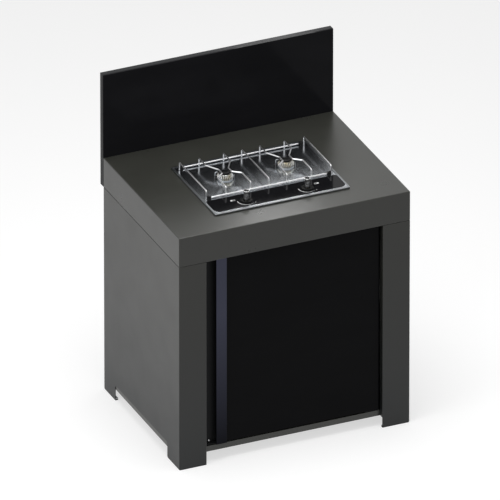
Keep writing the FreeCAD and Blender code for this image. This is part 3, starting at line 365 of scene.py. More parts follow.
def moulded(name, colour, rough, scale=700, depth=0.00008, level=0.5):
    """Rubber, plastic, enamel or ceramic: a fine pebbled skin."""
    material, tree, shader = blank(name)
    slow = grain(tree, scale=30)
    surface(tree, shader, mottled(tree, slow, colour, tone=0.15), spread(tree, slow, *rough), level=level)
    relief(tree, shader, grain(tree, scale, detail=2), strength=0.3, depth=depth)
    return material


# Settings
def colour_property(label, description, default):
    return bpy.props.FloatVectorProperty(name=label, description=description, default=default, size=3,
                                         subtype="COLOR", min=0, max=1)


def length_property(label, description, default):
    return bpy.props.FloatProperty(name=label, description=description, default=default, unit="LENGTH")


def share_property(label, description, default):
    return bpy.props.FloatProperty(name=label, description=description, default=default, subtype="FACTOR",
                                   min=0, max=1)


def power_property(label, description, default):
    return bpy.props.FloatProperty(name=label, description=description, default=default, unit="POWER", min=0)


def count_property(label, description, default):
    return bpy.props.IntProperty(name=label, description=description, default=default, min=4)


class KitchenFinishes(bpy.types.PropertyGroup):
    """The colours of the finishes."""
    paint: colour_property("Paint", "Powder paint of the cabinet and the worktop", (0.0235, 0.024, 0.0205))
    # Painted shade: the panels' colour at the floor, darker to stand in for the darker floor they reflect
    paint_foot_shade: colour_property("Paint at the feet", "Tone of the side panels near the floor",
                                (0.009, 0.0105, 0.0108))
    dark_paint: colour_property("Dark paint", "Paint of the door's back and of the finger channel",
                                (0.011, 0.0115, 0.0125))
    glass: colour_property("Glass", "Black back-painted glass", (0.0055, 0.0055, 0.0062))
    grip: colour_property("Grip", "Dark anodised grip strip", (0.04, 0.042, 0.06))
    # Painted shade: the grip's colour at its foot, darker to stand in for the darker floor it reflects
    grip_foot_shade: colour_property("Grip foot", "Tone of the grip strip at its foot", (0.0072, 0.0074, 0.0095))
    steel: colour_property("Steel", "Bright sheet steel of the hob", (0.46, 0.48, 0.5))
    chrome: colour_property("Chrome", "Wires and knobs", (0.6, 0.6, 0.61))
    crown: colour_property("Crown", "Cast burner crowns", (0.63, 0.66, 0.7))
    crown_tint: colour_property("Crown tint", "Brassy patches on the crowns", (0.42, 0.38, 0.27))
    # Painted shade: the dark colour laid in the crowns' port grooves
    port_shade: colour_property("Soot", "Dark metal in the crowns' ports", (0.05, 0.048, 0.045))
    brass: colour_property("Brass", "Injectors, valves and bushes", (0.72, 0.55, 0.27))
    zinc: colour_property("Zinc", "Plated inner sheets", (0.5, 0.51, 0.52))
    enamel: colour_property("Enamel", "Burner caps", (0.006, 0.006, 0.006))
    rubber: colour_property("Rubber", "Pads, grommet and support feet", (0.008, 0.008, 0.008))
    ceramic: colour_property("Ceramic", "Electrode posts, dark glazed", (0.02, 0.02, 0.022))
    ink: colour_property("Ink", "Printed marks on the control glass", (0.5, 0.5, 0.5))


class KitchenDetails(bpy.types.PropertyGroup):
    """Sizes of the printed marks, the wires, the burners and the knobs."""
    mark_radius: length_property("Mark radius", "Radius of the printed arc round a knob", 0.031)
    mark_width: length_property("Mark width", "Width of the arc at its thick end", 0.0024)
    mark_height: length_property("Ink height", "Thickness of the printed ink", 0.00012)
    dot_radius: length_property("Dot radius", "Radius of the printed dot past an arc's end", 0.0015)
    dot_angle: bpy.props.FloatProperty(name="Dot angle", description="Where the dot stands round a knob",
                                       default=math.radians(316), subtype="ANGLE")
    sign_size: length_property("Sign size", "Side of the printed squares beside a knob", 0.0075)
    sign_offset: length_property("Sign offset", "From a knob outwards to its two squares", 0.043)
    sign_rise: length_property("Sign rise", "From a knob back to its two squares", 0.018)
    wire_radius: length_property("Wire radius", "Radius of the pan support's wires", 0.0025)
    wire_bend: length_property("Wire bend", "Bend radius on the wires' centre lines", 0.004)
    arm_inner: length_property("Arm inner offset", "From a burner's centre to an arm's inner run", 0.018)
    rear_corner: length_property("Rear corner", "From a burner back to an arm's rear corner", 0.06)
    rear_inner: length_property("Rear inner end", "From a burner back to the inner run's end", 0.0135)
    front_inner: length_property("Front inner end", "From a burner forward to the inner run's end", 0.016)
    front_corner: length_property("Front corner", "From a burner forward to an arm's front corner", 0.0385)
    port_count: count_property("Ports", "Flame ports round a crown", 24)
    port_depth: length_property("Port depth", "How deep the ports go into a crown", 0.007)
    crown_shoulder_share: share_property("Shoulder", "Where a crown's slope starts, as a share of its height",
                                         0.474)
    crown_top_share: share_property("Crown top", "Radius of a crown's top as a share of its wall's", 0.707)
    flute_count: count_property("Flutes", "Flutes round a knob's stem", 24)
    flute_depth: length_property("Flute depth", "Depth of the stem's flutes", 0.0006)
    knob_stem_share: share_property("Knob stem", "Radius of a knob's stem as a share of its head's", 0.739)
    electrode_side: length_property("Electrode side", "From a burner's centre left to its electrode", 0.033)
    electrode_radius: length_property("Electrode radius", "Radius of an electrode's post", 0.0032)
    electrode_wire_radius: length_property("Electrode wire", "Radius of an electrode's wire", 0.0011)
    electrode_rise: length_property("Electrode rise", "From the rim's top to a post's top", 0.0105)
    electrode_reach: length_property("Electrode reach", "How far the wire bends over to the crown", 0.009)
    probe_side: length_property("Probe side", "From a burner's centre right to its probe", 0.021)
    probe_radius: length_property("Probe radius", "Radius of a flame probe", 0.0016)
    bezel_bore: length_property("Bezel bore", "Radius of the hole round a knob's stem", 0.0093)


class KitchenStudio(bpy.types.PropertyGroup):
    """The floor and the light."""
    floor: colour_property("Floor", "Plain pale floor", (0.45, 0.45, 0.45))
    floor_glow: share_property("Floor glow", "Light that the floor adds to what sees it", 0.62)
    ambient: share_property("Ambient", "Strength of the room's own light", 0.35)
    key: power_property("Key", "Power of the softbox on the left", 25)
    fill: power_property("Fill", "Power of the softbox on the right", 10)
    top: power_property("Top", "Power of the softbox overhead", 78)
    rear: power_property("Rear", "Power of the small softbox behind", 1.3)


class KitchenPiece:
    """What the operators share."""
    bl_options = {"REGISTER", "UNDO"}


class KITCHEN_OT_cabinet(KitchenPiece, bpy.types.Operator):
    """Finish the cabinet's sheets, the worktop, the feet and the fittings."""
    bl_idname = "kitchen.cabinet"
    bl_label = "Cabinet"

    def execute(self, context):
        finishes = context.scene.kitchen_finishes
        dress(powder_coat("satin_anthracite", finishes.paint, rough=0.3, level=0.46), "worktop")
        # Painted light: the floor tray takes the cabinet paint at 1.25 times its colour, lighter to stand in
        # for the light on its flanges
        tray = powder_coat("tray_anthracite", shaded(finishes.paint, share=1.25), rough=0.3, level=0.6)
        dress(tray, "floor_tray")
        panels = powder_coat("panel_anthracite", finishes.paint, rough=0.32, level=0.4,
                             foot=finishes.paint_foot_shade)
        dress(panels, "side_panel_left", "side_panel_right", "back_panel")
        zinc = metal("plated_zinc", finishes.zinc, rough=(0.3, 0.5), scale=90)
        dress(zinc, "front_rail", "foot_plates")
        bracket = powder_coat("bracket_black", finishes.dark_paint, rough=0.45, level=0.2)
        dress(bracket, "hinge_bracket_bottom", "hinge_bracket_top")
        steel = metal("screw_steel", shaded(finishes.steel, share=0.85), scale=500)
        dress(steel, "cabinet_screws", "splash_cover_screws", "hinge_screws", "hinge_pins")
        rubber = moulded("foot_rubber", finishes.rubber, rough=(0.6, 0.8))
        dress(rubber, "foot_pads", "hose_grommet")
        dress(moulded("catch_plastic", finishes.rubber, rough=(0.4, 0.55), level=0.4), "magnet_catch")
        return {"FINISHED"}


class KITCHEN_OT_door(KitchenPiece, bpy.types.Operator):
    """Finish the glass door, its grip strip and the finger channel."""
    bl_idname = "kitchen.door"
    bl_label = "Door"

    def execute(self, context):
        finishes = context.scene.kitchen_finishes
        dress(black_glass("door_black_glass", finishes.glass, rough=0.05, level=0.04), "door_glass")
        black = powder_coat("satin_black", finishes.dark_paint, rough=0.45, level=0.1)
        dress(black, "door_pan", "handle_channel", "handle_end_caps")
        dress(anodised(finishes), "handle_strip")
        dress(metal("bright_screws", finishes.chrome, rough=(0.08, 0.16), scale=400), "door_screws")
        dress(metal("turned_brass", finishes.brass), "hinge_bushes")
        dress(metal("plated_strike", finishes.zinc, rough=(0.25, 0.4), scale=120), "strike_plate")
        return {"FINISHED"}


def anodised(finishes):
    """Dark anodised sheet with upright grain, darker towards its foot as a painted shade of the darker
    floor that it reflects near the cabinet.
    """
    material, tree, shader = blank("anodised_grip")
    lines = grain(tree, scale=40, stretch=(40, 40, 0.6), detail=4)
    low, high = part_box("handle_strip")
    # Painted shade: the colour darkens from this share of the grip's height down to its foot
    foot_shade_share = 0.7
    foot_shade_rise = spread(tree, object_axes(tree)[2], 0, 1, low.z, low.z + (high.z - low.z) * foot_shade_share)
    tone = two_tone(tree, foot_shade_rise, finishes.grip_foot_shade, finishes.grip, 0, 1)
    surface(tree, shader, tone, spread(tree, lines, low=0.28, high=0.4), metallic=1)
    relief(tree, shader, lines, strength=0.2, depth=0.00001)
    return material


class KITCHEN_OT_splashback(KitchenPiece, bpy.types.Operator):
    """Finish the splashback's glass, its pan and its cover."""
    bl_idname = "kitchen.splashback"
    bl_label = "Splashback"

    def execute(self, context):
        finishes = context.scene.kitchen_finishes
        # Painted light: the splashback takes the door's black glass at 1.6 times its colour, lighter to stand
        # in for the brighter light it gets
        glass = black_glass("splash_black_glass", shaded(finishes.glass, share=1.6), rough=0.1, level=0.03)
        dress(glass, "splash_glass")
        black = powder_coat("splash_black", finishes.dark_paint, rough=0.4, level=0.1)
        dress(black, "splash_pan", "splash_cover")
        return {"FINISHED"}


class KITCHEN_OT_hob(KitchenPiece, bpy.types.Operator):
    """Finish the hob's tray, control glass, gasket and inner parts."""
    bl_idname = "kitchen.hob"
    bl_label = "Hob"

    def execute(self, context):
        finishes = context.scene.kitchen_finishes
        dress(tray_steel(finishes), "hob_tray")
        dress(black_glass("control_black_glass", finishes.glass, rough=0.04, level=0.1), "control_glass")
        dress(moulded("gasket_foam", finishes.rubber, rough=(0.7, 0.9)), "hob_gasket")
        zinc = metal("casing_zinc", finishes.zinc, rough=(0.3, 0.5), scale=90)
        dress(zinc, "hob_casing", "hob_clamps")
        dress(metal("pipe_steel", shaded(finishes.steel, share=0.85)), "clamp_screws", "gas_manifold")
        cast = metal("cast_alloy", shaded(finishes.crown, share=0.8), rough=(0.35, 0.5), scale=250,
                     depth=0.00005)
        dress(cast, "feed_pipes", "injector_holders", "burner_cups")
        brass = metal("machined_brass", finishes.brass)
        dress(brass, "injectors", "gas_inlet", "gas_valve_left", "gas_valve_right")
        dress(moulded("igniter_plastic", finishes.rubber, rough=(0.4, 0.6)), "igniter")
        return {"FINISHED"}


def tray_steel(finishes):
    """Bright sheet steel with a satin rim painted at half the steel's colour, a painted shade that dims the
    rear softbox's highlight there, and a little duller in front where pans rub it.

    The rim is where the larger of |x - x0| - a and |y - y0| - b is above zero, for a rectangle of half
    sizes a and b inside the tray's outline. The wear is full over the front quarter and fades towards
    the rear edge.
    """
    material, tree, shader = blank("tray_steel")
    low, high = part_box("hob_tray")
    centre, half = (low + high) / 2, (high - low) / 2
    rim_width, rim_blend, rim_rough, wear = 0.009, 0.001, 0.12, 0.06
    x, y, _ = object_axes(tree)

    def beyond(axis, start, size):
        away = reckon(tree, "ABSOLUTE", reckon(tree, "SUBTRACT", axis, start))
        return reckon(tree, "SUBTRACT", away, size - rim_width)
    outside = reckon(tree, "MAXIMUM", beyond(x, centre.x, half.x), beyond(y, centre.y, half.y))
    edge = spread(tree, outside, 0, 1, 0, rim_blend)
    slow = grain(tree, scale=8, stretch=(1, 6, 6), detail=4)
    sheet = mottled(tree, slow, finishes.steel, tone=0.015)
    worn = spread(tree, y, wear, 0, centre.y - half.y / 2, high.y)
    field = spread(tree, slow, low=0.165, high=0.185)
    rough = reckon(tree, "ADD", field, reckon(tree, "MULTIPLY", edge, rim_rough))
    # Painted shade: the rim takes half the steel's colour, to dim the rear softbox's highlight on it
    sheet_with_rim_shade = blend_sockets(tree, edge, sheet, shaded(finishes.steel, share=0.5))
    surface(tree, shader, sheet_with_rim_shade, reckon(tree, "ADD", rough, worn), metallic=1)
    return material


class KITCHEN_OT_burners(KitchenPiece, bpy.types.Operator):
    """Make the burners' crowns, caps, probes and electrodes."""
    bl_idname = "kitchen.burners"
    bl_label = "Burners"

    def execute(self, context):
        finishes = context.scene.kitchen_finishes
        details = context.scene.kitchen_details
        enamel = moulded("cap_enamel", shaded(finishes.enamel, share=0.6), rough=(0.25, 0.4), scale=300,
                         depth=0.00005, level=0.15)
        for side in SIDES:
            node = "burner_crown_" + side
            alloy = crown_alloy("crown_alloy_" + side, middle(node), finishes, details.port_count)
            finish_piece(piece_of("crown_" + side, crown(node, details)), node, alloy, "cast_alloy", node)
            node = "burner_cap_" + side
            finish_piece(piece_of("cap_" + side, cap(node)), node, enamel, "enamel", node)
        glaze = moulded("electrode_ceramic", finishes.ceramic, rough=(0.1, 0.2), scale=500, level=0.8)
        wire = metal("electrode_wire", finishes.crown, scale=400)
        posts, tips = electrodes(details)
        finish_piece(piece_of("electrode_posts", *posts), "cabinet", glaze, "ceramic", "spark_electrodes")
        finish_piece(piece_of("electrode_tips", *tips), "cabinet", wire, "steel", "spark_electrodes")
        probe_steel = metal("probe_steel", shaded(finishes.steel, share=0.3), rough=(0.3, 0.45), scale=400)
        rods = piece_of("probe_rods", *probes(details))
        finish_piece(rods, "cabinet", probe_steel, "steel", "flame_probes")
        return {"FINISHED"}


def crown_alloy(name, centre, finishes, count):
    """Bright alloy with brassy patches, darkened in stripes that follow the ports: a painted shade in the
    port grooves.

    The darkening follows cos(n a), a the angle round the burner's centre and n the port count.
    """
    material, tree, shader = blank(name)
    x, y, _ = object_axes(tree)
    across, back = reckon(tree, "SUBTRACT", x, centre.x), reckon(tree, "SUBTRACT", y, centre.y)
    angle = reckon(tree, "ARCTAN2", back, across)
    wave = reckon(tree, "COSINE", reckon(tree, "MULTIPLY", angle, count))
    bright = two_tone(tree, grain(tree, scale=45, detail=2), finishes.crown, finishes.crown_tint)
    # Painted shade in the port grooves
    port_shade = spread(tree, wave, 0, 1, start=-0.1, end=0.35)
    fine = grain(tree, scale=500)
    tone = blend_sockets(tree, port_shade, bright, finishes.port_shade)
    surface(tree, shader, tone, spread(tree, fine, low=0.14, high=0.26), metallic=1)
    relief(tree, shader, fine, strength=0.3, depth=0.00006)
    return material


def crown(node, details):
    """A flame spreader: tall ribs round its wall that run on as ribs up its sloping shoulder.

    Its radius loses d(z) g(a), where g is cos(n a) clipped to a band, n the port count, and d is the
    port depth on the wall and falls to zero up the slope.
    """
    low, high, centre, radius = round_box(node)
    rise = high.z - low.z
    foot_radius, foot_top = radius * 0.93, low.z + rise * 0.1
    shoulder = low.z + rise * details.crown_shoulder_share
    top_radius = radius * details.crown_top_share
    corners = [(0, low.z), (foot_radius, low.z), (foot_radius, foot_top), (radius, foot_top),
               (radius, shoulder), (top_radius, high.z), (0, high.z)]
    bends, spacing, columns_per_port = [0.0005, 0.0004, 0.0008, 0.0012, 0.0014], 0.0005, 16
    port_foot, port_top, steepness = rise * 0.14, high.z - rise * 0.05, 1500
    gain, bias = 1.6, 0.3

    def ports(rows, angle):
        cut = np.clip(np.cos(details.port_count * angle)[None, :] * gain + bias, 0, 1)
        z = rows[:, 1][:, None]
        start = np.clip((z - low.z - port_foot) * steepness, 0, 1)
        slope = np.clip((port_top - z) / (high.z - shoulder), 0, 1)
        outside = rows[:, :1] > top_radius
        return details.port_depth * cut * start * slope * outside
    profile = rounded(corners, bends, steps=6, spacing=spacing)
    return lathe(profile, centre, details.port_count * columns_per_port, ribs=ports)


def electrodes(details):
    """Each electrode's post with a grooved neck, and its bent wire tip."""
    low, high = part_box("spark_electrodes")
    post, wire = details.electrode_radius, details.electrode_wire_radius
    y, level = (low.y + high.y) / 2, high.z - wire
    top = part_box("hob_tray")[1].z + details.electrode_rise
    groove_radius, shoulder_radius, hole_radius = post * 0.8, post * 0.9, wire * 1.2
    groove_foot, groove_top, chamfer, seat = top - 0.006, top - 0.003, 0.0005, 0.001
    corners = [(0, low.z), (post, low.z), (post, groove_foot), (groove_radius, groove_foot + chamfer),
               (groove_radius, groove_top - chamfer), (post, groove_top), (shoulder_radius, top),
               (hole_radius, top), (0, top)]
    bends, wire_bend, wire_cap = [0.0004, 0.0003, 0.0003, 0.0003, 0.0003, 0.0006, 0], wire * 2, wire * 0.6
    profile = rounded(corners, bends, steps=6)
    posts, tips = [], []
    for side in SIDES:
        x = middle("burner_cap_" + side).x - details.electrode_side
        posts.append(lathe(profile, (x, y), columns=32))
        places = [(x, y, top - seat), (x, y, level), (x + details.electrode_reach, y, level)]
        tips.append(tube(rounded(places, wire_bend), wire, side=(0, 1, 0), columns=16, cap=wire_cap))
    return posts, tips


def probes(details):
    """Flame probes: rods from under the hob, thinner above a small step, with a round tip."""
    low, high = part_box("flame_probes")
    field_depth, step_rise, chamfer = 0.0015, 0.006, 0.0005
    foot_radius, rod_radius, y = details.probe_radius, details.probe_radius * 0.8, (low.y + high.y) / 2
    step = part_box("hob_tray")[1].z - field_depth + step_rise
    corners = [(0, low.z), (foot_radius, low.z), (foot_radius, step), (rod_radius, step + chamfer),
               (rod_radius, high.z), (0, high.z)]
    bends = [0.0003, 0.0003, 0.0003, 0.001]
    profile = rounded(corners, bends, steps=6)
    places = [(middle("burner_cap_" + side).x + details.probe_side, y) for side in SIDES]
    return [lathe(profile, place, columns=32) for place in places]


def cap(node):
    """A black lid, slightly domed, with a rolled edge."""
    low, high, centre, radius = round_box(node)
    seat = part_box(node.replace("cap", "crown"))[1].z
    plug_radius, crest_radius, edge = radius * 0.45, radius * 0.5, high.z - (high.z - low.z) * 0.12
    corners = [(0, low.z), (plug_radius, low.z), (plug_radius, seat), (radius, seat), (radius, edge),
               (crest_radius, high.z), (0, high.z)]
    bends, spacing = [0, 0, 0.001, 0.0012, 0.01], 0.001
    return lathe(rounded(corners, bends, spacing=spacing), centre)


class KITCHEN_OT_knobs(KitchenPiece, bpy.types.Operator):
    """Make the knobs and bezels, and print the marks round them."""
    bl_idname = "kitchen.knobs"
    bl_label = "Knobs"

    def execute(self, context):
        finishes = context.scene.kitchen_finishes
        details = context.scene.kitchen_details
        chrome = metal("knob_chrome", shaded(finishes.chrome, share=0.9), rough=(0.12, 0.22), scale=400)
        ink = moulded("printed_ink", finishes.ink, rough=(0.4, 0.5))
        plastic = moulded("bezel_plastic", shaded(finishes.rubber, share=0.5), rough=(0.22, 0.32), level=0.04)
        bezels = []
        for side in SIDES:
            node = "knob_" + side
            centre = middle(node)
            finish_piece(piece_of("turned_knob_" + side, knob(node, details)), node, chrome, "chrome", node)
            finish_piece(piece_of("knob_inlay_" + side, inlay(node)), node, plastic, "black_plastic")
            bezels.append(bezel(centre, details))
            marks = piece_of("printed_marks_" + side, *printed_marks(centre, details), smooth=False)
            finish_piece(marks, "cabinet", ink, "ceramic")
        finish_piece(piece_of("bezel_rings", *bezels), "cabinet", plastic, "black_plastic", "knob_bezels")
        dress(metal("spindle_brass", finishes.brass), "spindle_left", "spindle_right")
        dress(metal("washer_steel", finishes.zinc), "thrust_washer_left", "thrust_washer_right")
        return {"FINISHED"}


def knob(node, details):
    """A knob with a fluted stem, a flared head and a shallow dish on top.

    The stem's radius loses the flute depth times the square of cos(n a) where that is above zero, n the
    flute count, between soft ends at the foot and below the head.
    """
    low, high, centre, radius = round_box(node)
    rise = high.z - low.z
    stem = radius * details.knob_stem_share
    neck, dish = high.z - rise * 0.27, high.z - rise * 0.02
    lip_radius, dish_radius = radius * 0.85, radius * 0.82
    corners = [(0, low.z), (stem, low.z), (stem, neck), (radius, neck + rise * 0.12), (radius, high.z),
               (lip_radius, high.z), (dish_radius, dish), (0, dish)]
    bends, spacing, columns_per_flute = [0.0006, 0.003, 0.0015, 0.0006, 0.0003, 0.0003], 0.001, 10
    flute_foot, flute_top, steepness, near = rise * 0.06, neck - rise * 0.12, 800, 1e-5

    def flutes(rows, angle):
        wave = np.clip(np.cos(details.flute_count * angle), 0, 1)[None, :] ** 2
        z = rows[:, 1][:, None]
        start = np.clip((z - low.z - flute_foot) * steepness, 0, 1)
        end = np.clip((flute_top - z) * steepness, 0, 1)
        on_wall = np.abs(rows[:, :1] - stem) < near
        return details.flute_depth * wave * (start * end) * on_wall
    profile = rounded(corners, bends, spacing=spacing)
    return lathe(profile, centre, details.flute_count * columns_per_flute, ribs=flutes)


def inlay(node):
    """The dark disc let into a knob's head, with a round edge."""
    low, high, centre, radius = round_box(node)
    disc_share, depth_share, sink, bend, spacing = 0.81, 0.022, 0.0001, 0.0003, 0.001
    disc, foot, top = radius * disc_share, high.z - (high.z - low.z) * depth_share, high.z - sink
    corners = [(0, foot), (disc, foot), (disc, top), (0, top)]
    return lathe(rounded(corners, [0, bend], steps=6, spacing=spacing), centre, columns=64)


def bezel(centre, details):
    """A black dish ring on the glass round a knob, closed on its underside."""
    low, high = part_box("knob_bezels")
    radius, rise, bore = (high.y - low.y) / 2, high.z - low.z, details.bezel_bore
    wall, crest_radius, crest_width, dish = rise * 0.35, radius * 0.9, 0.003, rise * 0.3
    corners = [(bore, low.z), (radius, low.z), (radius, low.z + wall), (crest_radius, high.z),
               (bore + crest_width, high.z), (bore, high.z - dish), (bore, low.z)]
    bends = [0.0002, 0.0008, 0.0012, 0.001, 0.0008]
    return lathe(rounded(corners, bends, steps=6), centre, poles=False)


def printed_marks(centre, details):
    """The ink round one knob: its arc, a dot past the arc's end, and which of two squares is filled."""
    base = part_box("control_glass")[1].z
    top = base + details.mark_height
    dot_share, pitch_share, hole_share = 1.12, 0.62, 0.7
    away = details.mark_radius * dot_share
    place = centre.x + away * math.cos(details.dot_angle), centre.y + away * math.sin(details.dot_angle)
    dot = lathe([(details.dot_radius, base), (details.dot_radius, top)], place, columns=24)
    step = math.copysign(1, centre.x)
    signs = Vector((centre.x + step * details.sign_offset, centre.y + details.sign_rise, base))
    half, pitch = details.sign_size / 2, details.sign_size * pitch_share
    unit_square = np.array([(-1, -1), (1, -1), (1, 1), (-1, 1)], float)

    def square(x, shares, heights):
        flat = unit_square[None] * np.array(shares)[:, None, None] * half + np.array([x, signs.y])
        rise = np.broadcast_to(np.array(heights)[:, None, None], (len(shares), 4, 1))
        return np.concatenate([flat, rise], axis=2)
    filled = shell(square(signs.x + step * pitch, (1, 1), (base, top)), wrap=True, poles=True)
    ring_shares, heights = (1, 1, hole_share, hole_share, 1), (base, top, top, base, base)
    outlined = shell(square(signs.x - step * pitch, ring_shares, heights), wrap=True)
    return printed_arc(centre, details), dot, filled, outlined


def printed_arc(centre, details):
    """A raised ink arc round a knob: radius r, width w(a) that tapers to almost nothing, height h.

    The angle a runs from 170 to 306 degrees. The width is the full width times the cosine of most of a
    quarter turn, shared out along the way, and the section is a low box, walked round as four points.
    """
    start, sweep, rows, taper_share = 170, 136, 60, 0.97
    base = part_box("control_glass")[1].z
    share = np.linspace(0, 1, rows)
    angle = np.radians(start + sweep * share)[:, None]
    width = details.mark_width * np.cos(share * math.pi / 2 * taper_share)
    section_shares = np.array([(-0.5, 0), (-0.5, 1), (0.5, 1), (0.5, 0)])
    radius = details.mark_radius + section_shares[None, :, 0] * width[:, None]
    height = base + section_shares[None, :, 1] * details.mark_height + np.zeros_like(radius)
    return shell(about(centre, radius, angle, height), wrap=True, poles=True)


class KITCHEN_OT_pan_support(KitchenPiece, bpy.types.Operator):
    """Make the pan support's bent wires, rods and weld beads."""
    bl_idname = "kitchen.pan_support"
    bl_label = "Pan support"

    def execute(self, context):
        finishes = context.scene.kitchen_finishes
        details = context.scene.kitchen_details
        chrome = metal("wire_chrome", shaded(finishes.chrome, share=1.05), rough=(0.28, 0.34))
        for name, shells, nodes in support_wires(details):
            finish_piece(piece_of(name, *shells), "pan_support", chrome, "chrome", *nodes)
        rubber = moulded("support_rubber", shaded(finishes.rubber, share=0.6), rough=(0.5, 0.7), level=0.15)
        dress(rubber, "support_feet")
        return {"FINISHED"}


def support_wires(details):
    """The bars, each burner's arms, and the rods with their weld beads, as shells.

    Each wire rises at the rear, runs level to the front and comes down again. An arm's wire turns in
    towards its burner on the way and out again.
    """
    radius = details.wire_radius
    low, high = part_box("support_bars")
    z, x_bar = high.z - radius, high.x - radius
    front, rear = low.y + radius, high.y - radius
    spacing, rod_spacing, cap_share, bead_shares = 0.003, 0.01, 0.5, (1.15, 0.75, 0.8)

    def wire(x, *between):
        places = [(x, rear, low.z), (x, rear, z), *between, (x, front, z), (x, front, low.z)]
        line = rounded(places, details.wire_bend, spacing=spacing)
        return tube(line, radius, side=(1, 0, 0), cap=radius * cap_share)
    posts = [(x, y) for x in (-x_bar, 0, x_bar) for y in (front, rear)]
    made = [("support_bar_wires", [wire(x) for x in (-x_bar, 0, x_bar)], ["support_bars"])]
    reaches = (details.rear_corner, details.rear_inner, -details.front_inner, -details.front_corner)
    for side in SIDES:
        node = "support_arms_" + side
        centre, box = middle("burner_cap_" + side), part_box(node)
        outer = (box[1].x - box[0].x) / 2 - radius
        turns = [centre.y + reach for reach in reaches]
        arms = []
        for step in (-1, 1):
            x0, x1 = centre.x + step * outer, centre.x + step * details.arm_inner
            arms.append(wire(x0, (x0, turns[0], z), (x1, turns[1], z), (x1, turns[2], z), (x0, turns[3], z)))
            posts += [(x0, front), (x0, rear)]
        made.append(("support_arm_wires_" + side, arms, [node]))
    rod_low, rod_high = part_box("cross_rods")
    level = (rod_low.z + rod_high.z) / 2
    rods, beads = [], []
    for y, near in ((rod_low.y + radius, front), (rod_high.y - radius, rear)):
        places = [(rod_low.x, y, level), (0, y, level), (rod_high.x, y, level)]
        rods.append(tube(rounded(places, 0, spacing=rod_spacing), radius, side=(0, 0, 1)))
        beads += [bead((x, (y + near) / 2, level), radius * np.array(bead_shares)) for x, place in posts
                  if place == near and abs(x) < x_bar]
    made.append(("cross_rod_wires", rods + beads, ["cross_rods"]))
    return made


# Each softbox's name, place, aim and side in metres
SOFTBOXES = (
    ("key", (-2.8, -0.9, 2.4), (-0.4, 0, 0.75), 1.8),
    ("fill", (3.4, -3.2, 2.2), (0, 0, 0.6), 3.0),
    ("top", (-0.2, -0.2, 3.4), (0, 0, 0.9), 2.0),
    ("rear", (0.44, 0.83, 1.61), (-0.05, -0.26, 0.9), 0.28),
)


class KITCHEN_OT_studio(KitchenPiece, bpy.types.Operator):
    """Set the floor, the room, the lamps and the camera."""
    bl_idname = "kitchen.studio"
    bl_label = "Studio"

    def execute(self, context):
        studio = context.scene.kitchen_studio
        floor = piece_of("studio_floor", floor_sheet())
        floor.data.flip_normals()
        floor.data.materials.append(floor_material(studio))
        room(studio)
        for name, place, aim, size in SOFTBOXES:
            lamp(name + "_softbox", place, aim, size, getattr(studio, name))
        camera(context.scene)
        context.scene.view_settings.view_transform = "Standard"
        return {"FINISHED"}


def floor_sheet(half_width=9, lines=7):
    """A level square grid of points about the origin."""
    steps = np.linspace(-half_width, half_width, lines)
    x, y = np.meshgrid(steps, steps, indexing="ij")
    return shell(np.stack([x, y, np.zeros_like(x)], axis=-1))


def sees_background(tree):
    """One where a camera, glossy or transmission ray meets the surface, else zero."""
    path = tree.nodes.new("ShaderNodeLightPath").outputs
    seen = reckon(tree, "MAXIMUM", path["Is Camera Ray"], path["Is Glossy Ray"])
    return reckon(tree, "MAXIMUM", seen, path["Is Transmission Ray"])


def floor_material(studio):
    """A pale matt floor; what looks at it also sees a little light of its own."""
    material, tree, shader = blank("studio_floor_paint")
    shader.inputs["Base Color"].default_value = (*studio.floor, 1)
    shader.inputs["Roughness"].default_value = 0.9
    shader.inputs["Specular IOR Level"].default_value = 0
    shader.inputs["Emission Color"].default_value = (1, 1, 1, 1)
    glow = reckon(tree, "MULTIPLY", sees_background(tree), studio.floor_glow)
    tree.links.new(glow, shader.inputs["Emission Strength"])
    return material


def room(studio):
    """A white room that lights the object at the ambient strength and is seen at full strength."""
    world = bpy.data.worlds.new("studio_room")
    bpy.context.scene.world = world
    world.use_nodes = True
    tree = world.node_tree
    background = tree.nodes["Background"]
    background.inputs["Color"].default_value = (1, 1, 1, 1)
    mix = tree.nodes.new("ShaderNodeMix")
    mix.inputs["A"].default_value = studio.ambient
    mix.inputs["B"].default_value = 1
    tree.links.new(sees_background(tree), mix.inputs["Factor"])
    tree.links.new(mix.outputs["Result"], background.inputs["Strength"])


def lamp(name, place, aim, size, power):
    """A square softbox that faces its aim."""
    light = bpy.data.lights.new(name, "AREA")
    light.size = size
    light.energy = power
    lamp_object = bpy.data.objects.new(name, light)
    lamp_object.location = place
    lamp_object.visible_camera = False
    lamp_object.rotation_euler = (Vector(aim) - Vector(place)).to_track_quat("-Z", "Y").to_euler()
    bpy.context.scene.collection.objects.link(lamp_object)


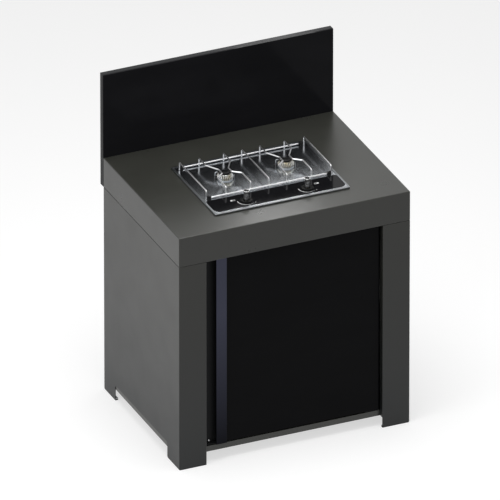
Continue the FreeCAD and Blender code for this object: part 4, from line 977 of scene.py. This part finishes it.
def camera(scene):
    """A very long lens from the front left, 28 degrees above the horizon."""
    turn, lift = 0.4161, 0.4898
    lens_pixels, pixels_per_metre = 22146.0, 290.7
    image, centre_u, centre_v = 500.0, 256.609, 277.437
    target = Vector((0, -0.0125, 0.5))
    right = Vector((math.cos(turn), -math.sin(turn), 0))
    up = Vector((math.sin(turn) * math.sin(lift), math.cos(turn) * math.sin(lift), math.cos(lift)))
    forward = Vector((math.sin(turn) * math.cos(lift), math.cos(turn) * math.cos(lift), -math.sin(lift)))
    place = target - forward * (lens_pixels / pixels_per_metre)
    aside, above = (image / 2 - centre_u) / pixels_per_metre, (centre_v - image / 2) / pixels_per_metre
    aim = target + right * aside + up * above
    data = bpy.data.cameras.new("photo_camera")
    data.sensor_width = 36
    data.lens = lens_pixels / image * data.sensor_width
    data.clip_start, data.clip_end = 1, 200
    view = bpy.data.objects.new("photo_camera", data)
    view.location = place
    view.rotation_euler = (aim - place).to_track_quat("-Z", "Y").to_euler()
    scene.collection.objects.link(view)
    scene.camera = view


class KITCHEN_PT_panel(bpy.types.Panel):
    """Lists the operators and all settings."""
    bl_idname = "KITCHEN_PT_panel"
    bl_label = "Outdoor kitchen"
    bl_space_type = "VIEW_3D"
    bl_region_type = "UI"
    bl_category = "Kitchen"

    def draw(self, context):
        for operator in OPERATORS:
            self.layout.operator(operator.bl_idname)
        scene = context.scene
        for group in (scene.kitchen_finishes, scene.kitchen_details, scene.kitchen_studio):
            for name in group.__annotations__:
                self.layout.prop(group, name)


OPERATORS = (KITCHEN_OT_cabinet, KITCHEN_OT_door, KITCHEN_OT_splashback, KITCHEN_OT_hob, KITCHEN_OT_burners,
             KITCHEN_OT_knobs, KITCHEN_OT_pan_support, KITCHEN_OT_studio)
CLASSES = (KitchenFinishes, KitchenDetails, KitchenStudio, *OPERATORS, KITCHEN_PT_panel)


def register():
    for item in CLASSES:
        bpy.utils.register_class(item)
    bpy.types.Scene.kitchen_finishes = bpy.props.PointerProperty(type=KitchenFinishes)
    bpy.types.Scene.kitchen_details = bpy.props.PointerProperty(type=KitchenDetails)
    bpy.types.Scene.kitchen_studio = bpy.props.PointerProperty(type=KitchenStudio)


def unregister():
    del bpy.types.Scene.kitchen_studio
    del bpy.types.Scene.kitchen_details
    del bpy.types.Scene.kitchen_finishes
    for item in reversed(CLASSES):
        bpy.utils.unregister_class(item)


def main():
    register()
    bpy.ops.kitchen.cabinet()
    bpy.ops.kitchen.door()
    bpy.ops.kitchen.splashback()
    bpy.ops.kitchen.hob()
    bpy.ops.kitchen.burners()
    bpy.ops.kitchen.knobs()
    bpy.ops.kitchen.pan_support()
    bpy.ops.kitchen.studio()


if __name__ == "__main__":
    main()
